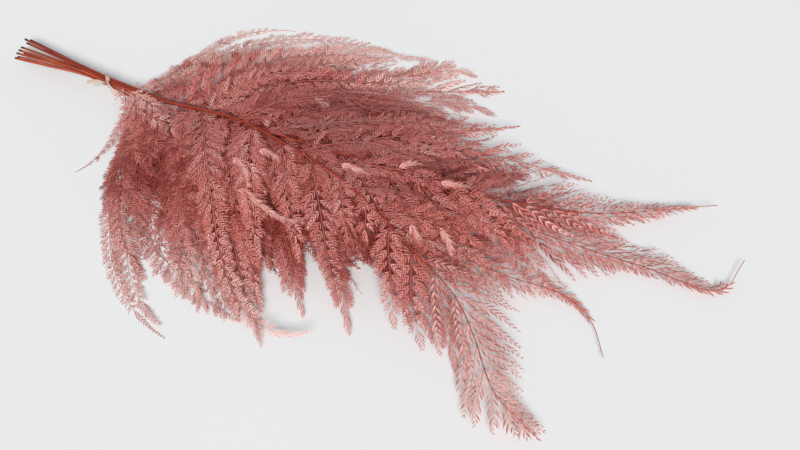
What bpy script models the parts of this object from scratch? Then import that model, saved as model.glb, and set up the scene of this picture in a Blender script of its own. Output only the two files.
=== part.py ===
"""A tied bunch of ten dried fern fronds lying down. +X runs from the cut ends to the tips, +Z is up."""

import math

import bmesh
import bpy
import numpy as np
from mathutils import Matrix

# ---- driving dimensions, in millimetres and degrees ----
MM = 0.001
NAME = "dried_fern_frond_bunch"

TIE_PLACE = (-255.0, 42.0)  # middle of the bunch where it is tied
TIE_HEIGHT = 20.0  # axis of the bunch above the surface there
TIE_HEADING = -7.5  # way the bunch points there

STALK_PITCH = 2.5  # between neighbouring stalks in the tie
STALK_ROW = 2.25  # between the rows of stalks in the tie
BUNDLED = 24.0  # the stalks lie close together for this far before the tie
STALK_RADIUS = 1.12  # at the cut end
STALK_TIP_RADIUS = 0.42  # of the midrib at the frond's tip
STALK_SIDES = 2  # Blender bevel resolution: 8 sides
STALK_GAP = 0.3  # between a stalk and its blade

EDGE_STEP = 1.3  # height of one layer of frond at the edge of the heap
MID_STEP = 6.4  # and in the middle
HEAP_START = -262.0
HEAP_RISE = 210.0
HEAP_FALL_FROM = 20.0
HEAP_FALL = 260.0
HEAP_NEAR = 95.0  # half width of the heap on the -Y side
HEAP_FAR = 130.0
LIFT = 15.0  # lowest layer off the surface at the tie
LIFT_ALONG = 60.0
LIFT_ACROSS = 45.0

BLADE_THICK = 0.8
BLADE_WIDEST = 9.0  # half width of a side branch
BRANCH_GAP_END = 13.0  # between branches of one side at the tip of the frond
BRANCH_GAP_BASE = 26.0  # added at the base
BRANCH_ROOT = 3.0  # length of midrib that a branch grows from

RIBBON_HALF_WIDTH = 1.85
RIBBON_HALF_THICK = 0.35
RIBBON_TWISTED = 0.6  # half width where it is twisted up
RIBBON_CLEAR = 0.35  # off the stalks
RING_AHEAD = 5.0  # how far the ring stands after the middle of the tie
KNOT_TURN = 45.0  # the knot sits this far up round the stalks from their near side
RING_LEAN = 6.0  # its near side stands this much further on, its far side less

# middle of the finished box, lowest point, in the coordinates used below
ORIGIN = (-1.43, 17.04, 0.3)

# the line down the middle of the heap
SPINE = ((-362, 54), (-255, 42), (-128, 22), (-19, 2), (120, 0), (250, 10), (360, 20))

# Ten fronds, lowest layer first. "cut" is the stalk's cut end (x, y, z); "slot" its place in the tie
# (across in pitches, row); "bare" the bare length after the tie on the near and far side; "reach" the
# longest branch near and far; "taper" how fast the branches shorten; "end" is added to every branch;
# "whip" is the bare length at the tip; "line" is the midrib after the tie.
FRONDS = (
    {"cut": (-360, 41, 12), "slot": (-1, -1), "bare": (60, 80), "reach": (240, 210),
     "taper": (1.0, 1.0), "end": 3,
     "line": ((-180, 27), (-100, -4), (-20, -38), (60, -60))},
    {"cut": (-354, 67, 12), "slot": (1, -1), "bare": (76, 78), "reach": (190, 170),
     "taper": (1.0, 0.8), "end": 3,
     "line": ((-190, 47), (-110, 88), (-20, 140), (101, 195))},
    {"cut": (-358, 52, 10), "slot": (0, -1), "bare": (70, 74), "reach": (255, 240),
     "taper": (1.2, 1.2), "end": 3,
     "line": ((-150, 30), (-40, 24), (90, 36), (190, 56), (252, 58))},
    {"cut": (-356, 41, 15), "slot": (-1.5, 0), "bare": (46, 84), "reach": (250, 225),
     "taper": (1.1, 1.1), "end": 3,
     "line": ((-160, 23), (-80, 6), (20, -30), (105, -62))},
    {"cut": (-361, 46, 14), "slot": (-0.5, 0), "bare": (76, 88), "reach": (245, 210),
     "taper": (1.7, 1.6), "end": 3, "whip": 46.0,
     "line": ((-150, 24), (-34, 2), (77, -20), (173, -26), (225, -22), (257, -37), (277, -68))},
    {"cut": (-362, 55, 14), "slot": (0.5, 0), "bare": (84, 72), "reach": (245, 225),
     "taper": (1.5, 1.35), "end": 3, "whip": 34.0,
     "line": ((-150, 28), (-31, 12), (83, 20), (173, 27), (279, 33), (345, 31), (360, 73))},
    {"cut": (-359, 67, 15), "slot": (1.5, 0), "bare": (92, 66), "reach": (235, 250),
     "taper": (1.3, 1.4), "end": 3,
     "line": ((-150, 33), (-71, 22), (43, 58), (120, 90), (215, 106))},
    {"cut": (-363, 64, 17), "slot": (1, 1), "bare": (96, 72), "reach": (240, 275),
     "taper": (1.2, 1.2), "end": 3,
     "line": ((-160, 34), (-70, 24), (0, 40), (60, 80), (134, 142))},
    {"cut": (-358, 60, 17), "slot": (0, 1), "bare": (104, 100), "reach": (190, 225),
     "taper": (1.25, 1.4), "end": 3, "whip": 18.0,
     "line": ((-128, 24), (-62, 13), (30, 13), (94, 19), (184, 48), (233, 70), (280, 97), (325, 122))},
    {"cut": (-359, 48, 17), "slot": (-1, 1), "bare": (112, 118), "reach": (172, 150),
     "taper": (1.0, 1.0), "end": 9,
     "line": ((-128, 21), (-60, 5), (25, -18), (103, -51), (150, -71),
              (180, -100), (210, -137), (255, -162))},
)

# Branches set by hand: layer, distance after the tie, side, angle, turn, how late it turns, length.
OWN_BRANCHES = (
    (0, 26.0, -1, 42.0, -70.0, 0.8, 100.0),
    (0, 44.0, -1, 65.8, 64.0, 2.2, 284.0),
    (3, 58.0, -1, 61.0, 52.0, 3.0, 255.0),
    (9, 124.0, -1, 47.0, 108.0, 5.0, 276.0),
    (1, 32.0, 1, 75.4, 68.2, 3.3, 192.0),
    (1, 62.0, 1, 94.0, 116.0, 0.74, 281.0),
    (7, 96.0, 1, 84.0, 66.0, 0.9, 262.0),
)


# ---- the heap and the lines in it ----
def smooth(t):
    t = np.clip(t, 0.0, 1.0)
    return t * t * (3.0 - 2.0 * t)


def beside_spine(x, y):
    xs, ys = zip(*SPINE)
    return y - np.interp(x, xs, ys)


def layer_step(x, y):
    """Height of one layer of frond at a place."""
    along = smooth((x - HEAP_START) / HEAP_RISE) * (1.0 - smooth((x - HEAP_FALL_FROM) / HEAP_FALL))
    d = beside_spine(x, y)
    across = np.exp(-np.abs(d / np.where(d < 0.0, HEAP_NEAR, HEAP_FAR)) ** 2.4)
    return EDGE_STEP + (MID_STEP - EDGE_STEP) * along * across


def layer_height(layer, x, y):
    d = beside_spine(x, y)
    past = np.maximum(x - TIE_PLACE[0], 0.0)
    lift = LIFT * np.exp(-((past / LIFT_ALONG) ** 2)) * np.exp(-((d / LIFT_ACROSS) ** 2))
    return lift + layer_step(x, y) * (layer + 0.5)


def tie_slot(across, row):
    """Middle of a stalk where the tie goes round."""
    a = math.radians(TIE_HEADING)
    off = across * STALK_PITCH
    x = TIE_PLACE[0] - math.sin(a) * off
    y = TIE_PLACE[1] + math.cos(a) * off
    return np.array([x, y, TIE_HEIGHT + row * STALK_ROW])


def through(points, per_span=40, count=240):
    """A smooth, evenly divided line through points, and its length."""
    p = np.array(points, float)
    p = np.vstack([2.0 * p[0] - p[1], p, 2.0 * p[-1] - p[-2]])
    t = np.linspace(0.0, 1.0, per_span, endpoint=False)[:, None]
    parts = []
    for a, b, c, d in zip(p[:-3], p[1:-2], p[2:-1], p[3:]):
        square = (2.0 * a - 5.0 * b + 4.0 * c - d) * t**2
        cube = (3.0 * b - a - 3.0 * c + d) * t**3
        parts.append(0.5 * (2.0 * b + (c - a) * t + square + cube))
    dense = np.vstack(parts + [p[-2:-1]])
    run = np.concatenate([[0.0], np.cumsum(np.linalg.norm(np.diff(dense, axis=0), axis=1))])
    even = np.linspace(0.0, run[-1], count)
    line = np.stack([np.interp(even, run, dense[:, k]) for k in range(dense.shape[1])], 1)
    return line, float(run[-1])


def at(line, length, s):
    """Place and heading on a line at distance s from its start."""
    f = min(max(s / length, 0.0), 1.0) * (len(line) - 1)
    i = int(min(f, len(line) - 2))
    place = line[i] + (line[i + 1] - line[i]) * (f - i)
    ahead = line[min(i + 3, len(line) - 1)] - line[max(i - 2, 0)]
    return place, math.atan2(ahead[1], ahead[0])


def frond_line(layer):
    """Plan of a frond's midrib from the tie to its tip."""
    frond = FRONDS[layer]
    start = tie_slot(*frond["slot"])[:2]
    return through([tuple(start)] + list(frond["line"]))


def rib_height(layer, x, y):
    """Height of the midrib: it leaves the tie from its slot and settles into its layer."""
    slot = tie_slot(*FRONDS[layer]["slot"])
    settle = smooth((x - TIE_PLACE[0] - 5.0) / 60.0)
    return slot[2] * (1.0 - settle) + layer_height(layer, x, y) * settle


def rib_radius(share):
    """Radius of stalk and midrib, by share of the way from cut end to tip."""
    return STALK_RADIUS + (STALK_TIP_RADIUS - STALK_RADIUS) * share**1.2


def branch_shape(frond, s, side, share, k, length, phase):
    """Angle, turn and length of one ordinary side branch."""
    near = side < 0
    one = 0 if near else 1
    u = (s - frond["bare"][one]) / (length - frond["bare"][one])
    ramp = smooth(u * 8.0)
    reach = frond["reach"][one] * (1.0 - u) ** frond["taper"][one]
    reach *= 0.30 + 0.70 * ramp if near else 0.75 + 0.25 * ramp
    reach = reach * (1.0 + 0.07 * math.sin(k * 1.9 + phase[0])) + frond["end"]
    if near:
        angle = 54.0 - 14.0 * u + 18.0 * math.exp(-u / 0.06)
        turn = 11.0 + 8.0 * math.sin(k * 0.22 + phase[1]) + 20.0 * math.exp(-u / 0.08)
    else:
        angle = 44.0 + 48.0 * math.exp(-u / 0.25)
        turn = 52.0 * (1.0 - u) + 6.0 * math.sin(k * 0.22 + phase[2])
    angle += 3.0 * math.sin(k * 0.3 + phase[3])
    if reach < 45.0:
        turn *= 0.3
    return angle, turn, reach


def blade_start(layer):
    """Distance after the tie of a frond's first side branch."""
    own = [b[1] for b in OWN_BRANCHES if b[0] == layer]
    return min(list(FRONDS[layer]["bare"]) + own)


def branches(layer):
    """Side branches of a frond from base to tip, each with its line in plan."""
    frond = FRONDS[layer]
    line, length = frond_line(layer)
    phase = np.random.default_rng(100 + layer).uniform(0.0, 6.28, 4)
    first = blade_start(layer)
    found = []
    for own_layer, s, side, angle, turn, late, reach in OWN_BRANCHES:
        if own_layer == layer:
            share = (s - first) / (length - first)
            found.append(new_branch(line, length, s, side, share, angle, turn, late, reach, True))
    s = first
    k = 0
    while s < length - frond.get("whip", 9.0):
        side = -1 if k % 2 == 0 else 1
        share = (s - first) / (length - first)
        beside = [b for b in found if abs(b["s"] - s) < 0.5 * BRANCH_ROOT + 3.0]
        taken = [b for b in found if b["side"] == side and abs(b["s"] - s) < 0.3 * gap_at(share)]
        if s >= frond["bare"][0 if side < 0 else 1] and not beside and not taken:
            angle, turn, reach = branch_shape(frond, s, side, share, k, length, phase)
            b = new_branch(line, length, s, side, share, angle, turn, 1.0, reach)
            clear = clear_share(b, found)
            while clear < 1.0 and reach > 5.0:
                reach *= clear
                b = new_branch(line, length, s, side, share, angle, turn, 1.0, reach)
                clear = clear_share(b, found)
            if b["reach"] > 5.0:
                found.append(b)
        s += 0.5 * gap_at(share)
        k += 1
    found.sort(key=lambda b: b["s"])
    return line, length, found


def gap_at(share):
    """Distance between neighbouring branches of one side."""
    return BRANCH_GAP_END + BRANCH_GAP_BASE * (1.0 - share) ** 0.8


def new_branch(line, length, s, side, share, angle, turn, late, reach, own=False):
    steps = 72
    place, heading = at(line, length, s)
    u = (np.arange(steps) + 0.5) / steps
    away = heading + side * (math.radians(angle) - math.radians(turn) * u**late)
    hop = np.stack([np.cos(away), np.sin(away)], 1) * reach / steps
    plan = np.vstack([place, place + np.cumsum(hop, 0)])
    return {"s": s, "side": side, "share": share, "angle": angle, "reach": reach, "plan": plan,
            "away": np.append(away, away[-1]), "place": place, "heading": heading, "own": own}


def clear_share(b, others):
    """Share of a branch's length that stays clear of the branches there already."""
    same = [(o["plan"], 10.0 if o["own"] else 6.0) for o in others if o["side"] == b["side"]]
    for k in range(12, len(b["plan"])):
        p = b["plan"][k]
        if any(np.linalg.norm(plan - p, axis=1).min() < space for plan, space in same):
            return max(k - 6, 6) / (len(b["plan"]) - 1)
    return 1.0


def room_at(b, k, others, line):
    """Half width that a branch may have round about its point k."""
    room = 99.0
    for j in range(max(k - 8, 8), min(k + 9, len(b["plan"]))):
        p = b["plan"][j]
        for o in others:
            if o is not b and o["side"] == b["side"]:
                room = min(room, 0.38 * np.linalg.norm(o["plan"] - p, axis=1).min())
        room = min(room, 0.75 * (np.linalg.norm(line - p, axis=1).min() - 1.2))
    return room


def branch_height(layer, b_place, x, y):
    """Height of a branch: from the midrib's height where it grows, settling into the layer."""
    root = rib_height(layer, b_place[0], b_place[1]) - layer_height(layer, b_place[0], b_place[1])
    away = np.hypot(x - b_place[0], y - b_place[1])
    return layer_height(layer, x, y) + root * np.exp(-away / 30.0)


# ---- solids ----
def make_material(name, colour, roughness):
    mat = bpy.data.materials.new(name)
    mat.use_nodes = True
    shader = mat.node_tree.nodes["Principled BSDF"]
    shader.inputs["Base Color"].default_value = (*colour, 1.0)
    shader.inputs["Roughness"].default_value = roughness
    return mat


def add_object(name, mesh, mat, collection):
    mesh.transform(Matrix.Translation([-c * MM for c in ORIGIN]))
    mesh.name = name
    ob = bpy.data.objects.new(name, mesh)
    mesh.materials.clear()
    mesh.materials.append(mat)
    collection.objects.link(ob)
    return ob


def finish_mesh(bm, name):
    bmesh.ops.recalc_face_normals(bm, faces=bm.faces)
    if bm.calc_volume(signed=True) < 0.0:
        bmesh.ops.reverse_faces(bm, faces=bm.faces)
    mesh = bpy.data.meshes.new(name)
    bm.to_mesh(mesh)
    bm.free()
    return mesh


def bevelled(name, points, radii):
    """A round bar along a line, from a bevelled curve with closed ends."""
    curve = bpy.data.curves.new(name + "_line", "CURVE")
    curve.dimensions = "3D"
    curve.bevel_depth = MM
    curve.bevel_resolution = STALK_SIDES
    curve.use_fill_caps = True
    spline = curve.splines.new("POLY")
    spline.points.add(len(points) - 1)
    for point, place, radius in zip(spline.points, points, radii):
        point.co = (*(np.array(place) * MM), 1.0)
        point.radius = radius
    holder = bpy.data.objects.new(name + "_line", curve)
    bpy.context.scene.collection.objects.link(holder)
    bpy.context.view_layer.update()
    graph = bpy.context.evaluated_depsgraph_get()
    mesh = bpy.data.meshes.new_from_object(holder.evaluated_get(graph))
    bpy.data.objects.remove(holder)
    bm = bmesh.new()
    bm.from_mesh(mesh)
    bpy.data.meshes.remove(mesh)
    bmesh.ops.remove_doubles(bm, verts=bm.verts, dist=1e-6)
    return finish_mesh(bm, name)


def drawn_out(bm, face, ring):
    """Extrudes a four-sided face and moves each new corner to its place in ring, given by the old corner."""
    was = [np.array(v.co) for v in face.verts]
    made = bmesh.ops.extrude_discrete_faces(bm, faces=[face])["faces"][0]
    follows = {v: int(np.argmin([np.linalg.norm(np.array(v.co) - w) for w in was])) for v in made.verts}
    for v, k in follows.items():
        v.co = ring[k] * MM
    return made, follows


def rib_ring(place, heading, z, radius):
    """Corners of the midrib's square section: right-low, right-high, left-high, left-low."""
    side = np.array([-math.sin(heading), math.cos(heading)]) * radius * 0.86
    low = z - radius * 0.86
    high = z + radius * 0.86
    corners = []
    for sign, level in ((-1, low), (-1, high), (1, high), (1, low)):
        corners.append(np.array([place[0] + sign * side[0], place[1] + sign * side[1], level]))
    return corners


def frond_mesh(layer, name):
    """One frond: the midrib drawn out ring by ring, then each side branch drawn out of its flank."""
    line, length, found = branches(layer)
    stops = [blade_start(layer) - 6.0]
    for b in found:
        half = 0.5 * BRANCH_ROOT * (1.0 - 0.4 * b["share"])
        b["half"] = half
        stops += [b["s"] - half, b["s"] + half]
    whip = length - stops[-1]
    stops += list(stops[-1] + whip * np.linspace(0.0, 1.0, max(2, int(whip / 9.0) + 1))[1:])
    rings = []
    for s in stops:
        place, heading = at(line, length, s)
        share = (s + 105.0) / (length + 105.0)
        radius = rib_radius(share)
        rings.append(rib_ring(place, heading, float(rib_height(layer, *place)), radius))

    bm = bmesh.new()
    made = bmesh.ops.create_cube(bm, size=1.0)["verts"]
    for v in made:
        end = 1 if v.co.x > 0 else 0
        corner = {(-1, -1): 0, (-1, 1): 1, (1, 1): 2, (1, -1): 3}[
            (1 if v.co.y > 0 else -1, 1 if v.co.z > 0 else -1)
        ]
        v.co = rings[end][corner] * MM
    tip = np.mean(rings[1], axis=0) * MM
    cap = min(bm.faces, key=lambda f: np.linalg.norm(np.array(f.calc_center_median()) - tip))
    last = rings[1]
    for ring in rings[2:]:
        order = [int(np.argmin([np.linalg.norm(np.array(v.co) - c * MM) for c in last])) for v in cap.verts]
        cap, _ = drawn_out(bm, cap, [ring[k] for k in order])
        last = ring
    centres = {}
    for face in bm.faces:
        centres[face] = np.array(face.calc_center_median()) / MM

    for b in found:
        draw_branch(bm, layer, line, length, b, found, centres)
    return finish_mesh(bm, name)


def draw_branch(bm, layer, line, length, b, found, centres):
    """Draws a side branch out of the midrib's flank as a flat pointed blade."""
    place, heading = b["place"], b["heading"]
    radius = rib_radius((b["s"] + 105.0) / (length + 105.0)) * 0.86
    side = np.array([-math.sin(heading), math.cos(heading)]) * b["side"]
    z = float(rib_height(layer, *place))
    flank = np.array([place[0] + side[0] * radius, place[1] + side[1] * radius, z])
    face = min(centres, key=lambda f: np.linalg.norm(centres[f] - flank))
    del centres[face]
    forward = np.array([math.cos(heading), math.sin(heading)])
    widest = min(BLADE_WIDEST, 0.25 * b["reach"])
    if b["own"]:
        shares = ((0.08, 0.6), (0.25, 0.9), (0.42, 1.0), (0.58, 0.8), (0.74, 0.55), (0.88, 0.3), (1.0, 0.05))
    elif b["reach"] > 120.0:
        shares = ((0.1, 0.6), (0.35, 1.0), (0.68, 0.66), (1.0, 0.05))
    elif b["reach"] > 45.0:
        shares = ((0.14, 0.75), (0.5, 1.0), (1.0, 0.07))
    else:
        shares = ((0.4, 1.0), (1.0, 0.15))
    for u, wide in shares:
        k = int(round(u * (len(b["plan"]) - 1)))
        middle = b["plan"][k]
        across = np.array([-math.sin(b["away"][k]), math.cos(b["away"][k])]) * -b["side"]
        half = max(min(wide * widest, room_at(b, k, found, line)), 0.35)
        thick = 0.5 * BLADE_THICK * (1.0 if u < 1.0 else 0.7)
        way = forward if u == shares[0][0] else across
        centre = centre_of(face)
        ring = []
        corner = []
        old = list(face.verts)
        for v in old:
            rel = np.array(v.co) / MM
            ahead = 1 if np.dot((rel - centre)[:2], way) > 0 else -1
            up = 1 if rel[2] > flank_level(face, v) else -1
            xy = middle + across * half * ahead
            level = float(branch_height(layer, place, xy[0], xy[1])) + up * thick
            ring.append(np.array([xy[0], xy[1], level]))
            corner.append((ahead, up))
        face, follows = drawn_out(bm, face, ring)
        new = {corner[k]: v for v, k in follows.items()}
        for up in (1, -1):
            split_face(old[corner.index((-1, up))], new[(1, up)])


def split_face(a, b):
    """Splits the face that two corners share, so that a blade's top and underside are split alike."""
    shared = [f for f in a.link_faces if b in f.verts]
    if len(shared) == 1 and len(shared[0].verts) == 4:
        bmesh.utils.face_split(shared[0], a, b)


def centre_of(face):
    return np.mean([np.array(v.co) for v in face.verts], axis=0) / MM


def flank_level(face, v):
    """Level halfway between a corner of a face and the corner straight above or below it."""
    mates = [w for w in face.verts if w is not v]
    mate = min(mates, key=lambda w: math.hypot(w.co.x - v.co.x, w.co.y - v.co.y))
    return 0.5 * (v.co.z + mate.co.z) / MM


def stalk_mesh(layer, name):
    """The bare stalk: cut end, through the tie, to just short of the first branch."""
    frond = FRONDS[layer]
    line, length = frond_line(layer)
    slot = tie_slot(*frond["slot"])
    cut = np.array(frond["cut"], float)
    a = math.radians(TIE_HEADING)
    ahead = np.array([math.cos(a), math.sin(a), 0.0])
    points = []
    for t in (0.0, 0.3, 0.6, 0.88):
        straight = cut + (slot - ahead * BUNDLED - cut) * t
        points.append(straight)
    points.append(slot - ahead * (BUNDLED - 5.0))
    points.append(slot - ahead * 4.0)
    points.append(slot + ahead * 4.0)
    stop = blade_start(layer) - 6.0 - STALK_GAP
    run = np.linspace(9.0, stop, max(2, int(stop / 14.0)))
    if stop < 9.5:
        run = np.array([stop])
    for s in run:
        place, _ = at(line, length, s)
        points.append(np.array([place[0], place[1], float(rib_height(layer, *place))]))
    whole = length + 105.0
    radii = [rib_radius(min(max((p[0] - cut[0]) / whole, 0.0), 1.0)) for p in points]
    return bevelled(name, points, radii)


# ---- the tie ----
def tie_frame():
    a = math.radians(TIE_HEADING)
    ahead = np.array([math.cos(a), math.sin(a), 0.0])
    near = np.array([math.sin(a), -math.cos(a), 0.0])
    return np.array([TIE_PLACE[0], TIE_PLACE[1], TIE_HEIGHT]), ahead, near, np.array([0.0, 0.0, 1.0])


def tie_path():
    """Middle points, face-out directions and half sizes of the ribbon from one end to the other."""
    centre, ahead, near, up = tie_frame()
    wide = 2.0 * STALK_PITCH + STALK_RADIUS * 0.5 + RIBBON_CLEAR + RIBBON_HALF_THICK
    tall = STALK_ROW + STALK_RADIUS + 0.35 + RIBBON_CLEAR + RIBBON_HALF_THICK
    turn = math.radians(KNOT_TURN)
    out = near * math.cos(turn) / wide + up * math.sin(turn) / tall
    out = out / np.linalg.norm(out)
    over = np.cross(ahead, out) * -1.0
    if np.dot(over, up) < 0.0:
        over = -over
    knot = centre + near * math.cos(turn) * wide + up * math.sin(turn) * tall
    knot = knot + ahead * (RING_AHEAD + RING_LEAN * math.cos(turn))
    knot_in = knot + out * 1.7
    knot_out = knot + out * 4.2
    flat = (RIBBON_HALF_WIDTH, RIBBON_HALF_THICK)
    rolled = (RIBBON_TWISTED, RIBBON_HALF_THICK * 0.95)
    stations = []

    def add(point, outward, size):
        stations.append((np.array(point), np.array(outward), size))

    first_end = centre + near * 12.6 - ahead * 10.6 + up * 1.6
    for t in (0.0, 0.35, 0.68, 0.9):
        start = knot_out - over * 1.0 - ahead * 1.8 + out * 0.6
        swell = up * 1.2 * math.sin(math.pi * t)
        size = flat if t < 0.8 else (RIBBON_TWISTED * 1.3, RIBBON_HALF_THICK)
        add(first_end + (start - first_end) * t + swell, up + near * (0.8 - 0.3 * t), size)
    turns = 7
    for k in range(turns):
        t = k / (turns - 1)
        around = math.radians(270.0 - 180.0 * t)
        radial = over * math.sin(around) + ahead * -math.cos(around)
        add(knot_out + (knot_in - knot_out) * t + radial * 0.95, radial, rolled)
    around_steps = 17
    for k in range(around_steps):
        t = k / (around_steps - 1)
        angle = math.radians(KNOT_TURN + 26.0 + (360.0 - 52.0) * t)
        radial = near * math.cos(angle) * wide + up * math.sin(angle) * tall
        radial = radial + ahead * (RING_AHEAD + RING_LEAN * math.cos(angle))
        outward = near * math.cos(angle) / wide + up * math.sin(angle) / tall
        add(centre + radial, outward, flat)
    for k in range(turns):
        t = 1.0 - k / (turns - 1)
        around = math.radians(90.0 - 180.0 * t)
        radial = over * math.sin(around) + ahead * -math.cos(around)
        add(knot_out + (knot_in - knot_out) * t + radial * 0.95, radial, rolled)
    second_end = centre + near * 8.6 + ahead * 18.8 - up * 4.0
    start = knot_out + over * 0.6 + ahead * 2.4 + out * 0.3
    for t in (0.0, 0.4, 1.0):
        size = flat if t > 0.3 else (RIBBON_TWISTED * 1.3, RIBBON_HALF_THICK)
        outward = up * -0.5 - near * (0.2 + 0.2 * t) + ahead * 0.5 * (1.0 - t)
        add(start + (second_end - start) * t, outward, size)
    return stations


def tie_mesh(name):
    """The ribbon: a flat section drawn along its path."""
    stations = tie_path()
    points = np.array([s[0] for s in stations])
    rings = []
    for k, (point, outward, (half_width, half_thick)) in enumerate(stations):
        along = points[min(k + 1, len(points) - 1)] - points[max(k - 1, 0)]
        along = along / np.linalg.norm(along)
        outward = outward - along * np.dot(outward, along)
        outward = outward / np.linalg.norm(outward)
        across = np.cross(along, outward)
        ring = []
        for sign, level in ((-1, -1), (-1, 1), (1, 1), (1, -1)):
            ring.append(point + across * half_width * sign + outward * half_thick * level)
        rings.append(ring)
    bm = bmesh.new()
    made = bmesh.ops.create_cube(bm, size=1.0)["verts"]
    for v in made:
        end = 1 if v.co.x > 0 else 0
        corner = {(-1, -1): 0, (-1, 1): 1, (1, 1): 2, (1, -1): 3}[
            (1 if v.co.y > 0 else -1, 1 if v.co.z > 0 else -1)
        ]
        v.co = rings[end][corner] * MM
    tip = np.mean(rings[1], axis=0) * MM
    cap = min(bm.faces, key=lambda f: np.linalg.norm(np.array(f.calc_center_median()) - tip))
    last = rings[1]
    for ring in rings[2:]:
        order = [int(np.argmin([np.linalg.norm(np.array(v.co) - c * MM) for c in last])) for v in cap.verts]
        cap, _ = drawn_out(bm, cap, [ring[k] for k in order])
        last = ring
    return finish_mesh(bm, name)


def main():
    for ob in list(bpy.data.objects):
        bpy.data.objects.remove(ob, do_unlink=True)
    collection = bpy.data.collections.new(NAME)
    bpy.context.scene.collection.children.link(collection)
    stem = make_material("stem", (0.22, 0.035, 0.018), 0.35)
    leaflet = make_material("leaflet", (0.33, 0.095, 0.08), 0.8)
    paper = make_material("tie_paper", (0.65, 0.47, 0.42), 0.7)
    for layer in range(len(FRONDS)):
        number = f"{layer + 1:02d}"
        add_object("stem_" + number, stalk_mesh(layer, "stem_" + number), stem, collection)
        add_object("frond_" + number, frond_mesh(layer, "frond_" + number), leaflet, collection)
    add_object("twist_tie", tie_mesh("twist_tie"), paper, collection)


main()
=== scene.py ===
"""A tied bunch of dried, dyed fern fronds lying on a table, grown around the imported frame.

Each frond is a grooved stalk and midrib with feather-like side branches. A side branch carries small shoots,
and every shoot carries pointed leaflets. A paper ribbon with a wire in it ties the stalks.
"""

import math

import bmesh
import bpy
import numpy as np
from bpy.props import FloatProperty, FloatVectorProperty, PointerProperty
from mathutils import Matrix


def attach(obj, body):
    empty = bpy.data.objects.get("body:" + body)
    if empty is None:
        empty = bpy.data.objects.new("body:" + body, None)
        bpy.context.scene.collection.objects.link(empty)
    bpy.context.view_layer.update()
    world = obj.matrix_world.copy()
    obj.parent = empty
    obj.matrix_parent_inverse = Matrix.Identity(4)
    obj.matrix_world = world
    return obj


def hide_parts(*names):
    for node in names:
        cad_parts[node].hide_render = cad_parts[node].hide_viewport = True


bl_info = {
    "name": "Dried Fern Bunch",
    "version": (1, 0, 0),
    "blender": (4, 5, 0),
    "location": "3D View > Sidebar > Fern Bunch",
    "description": "Models a tied bunch of dried fern fronds piece by piece",
    "category": "Object",
}

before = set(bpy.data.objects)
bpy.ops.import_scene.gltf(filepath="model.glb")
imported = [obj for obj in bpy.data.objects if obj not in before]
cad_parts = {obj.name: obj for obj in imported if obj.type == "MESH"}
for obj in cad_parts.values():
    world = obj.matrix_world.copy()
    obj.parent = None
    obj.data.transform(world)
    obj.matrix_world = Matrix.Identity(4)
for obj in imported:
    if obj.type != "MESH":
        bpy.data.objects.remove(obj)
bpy.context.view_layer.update()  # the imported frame: one body, twenty-one nodes

MM = 0.001
BODY = "root"
MAP_NAME = "OFBake"  # the pieces' own UV map

# ---- the bunch, in millimetres and degrees, as the frame was built ----
TIE_PLACE = (-255.0, 42.0)
TIE_HEIGHT = 20.0
TIE_HEADING = -7.5
STALK_PITCH = 2.5
STALK_ROW = 2.25
BUNDLED = 24.0  # the stalks lie close together for this far before the tie
STALK_RADIUS = 1.12
STALK_TIP_RADIUS = 0.42
EDGE_STEP = 1.3
MID_STEP = 6.4
HEAP_START = -262.0
HEAP_RISE = 210.0
HEAP_FALL_FROM = 20.0
HEAP_FALL = 260.0
HEAP_NEAR = 95.0
HEAP_FAR = 130.0
LIFT = 15.0
LIFT_ALONG = 60.0
LIFT_ACROSS = 45.0
BRANCH_GAP_END = 13.0
BRANCH_GAP_BASE = 26.0
BRANCH_ROOT = 3.0
BRANCH_STEPS = 72
SHORTEST = 5.0  # shorter branches are left out
RIBBON_HALF_WIDTH = 1.85
RIBBON_HALF_THICK = 0.35
RIBBON_TWISTED = 0.6
RIBBON_CLEAR = 0.35
RING_AHEAD = 5.0  # how far the ring stands after the middle of the tie
KNOT_TURN = 45.0  # the knot sits this far up round the stalks from their near side
RING_LEAN = 6.0  # its near side stands this much further on, its far side less
KNOT_OPENING = 26.0  # the ring stays open for this far on either side of the knot
TWIST_STEPS = 6
RING_STEPS = 16
END_LENGTH = 3  # added to every branch
ORIGIN = (-1.43, 17.04, 0.3)

# ---- how stalks and midribs are drawn ----
CUT_LENGTH = 105.0  # of a stalk before the tie
TIP_RADIUS = 0.36
WHIP_RADIUS = 0.34  # the same where the tip is bare
# painted highlight: the stalks of the near group are drawn brighter and more orange than the far ones
GLOW_WITHIN = 58.0  # stalks with their cut ends nearer than this are more orange

# ---- the stage ----
CAMERA_TARGET = (0.07393, -0.01704, 0.0)
CAMERA_LENS = 50.0
SENSOR_WIDTH = 36.0
SUN_TURN = 26.0  # degrees
SUN_HEIGHT = 41.0
SUN_SIZE = 20.0
SUN_STRENGTH = 3.3
SUN_COLOUR = (1.0, 0.985, 0.965)
SKY_STRENGTH = 0.345
SKY_COLOUR = (0.93, 0.96, 1.0, 1.0)

# ---- the shape of the bunch ----
# the line down the middle of the heap
SPINE = ((-362, 54), (-255, 42), (-128, 22), (-19, 2), (120, 0), (250, 10), (360, 20))

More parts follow.
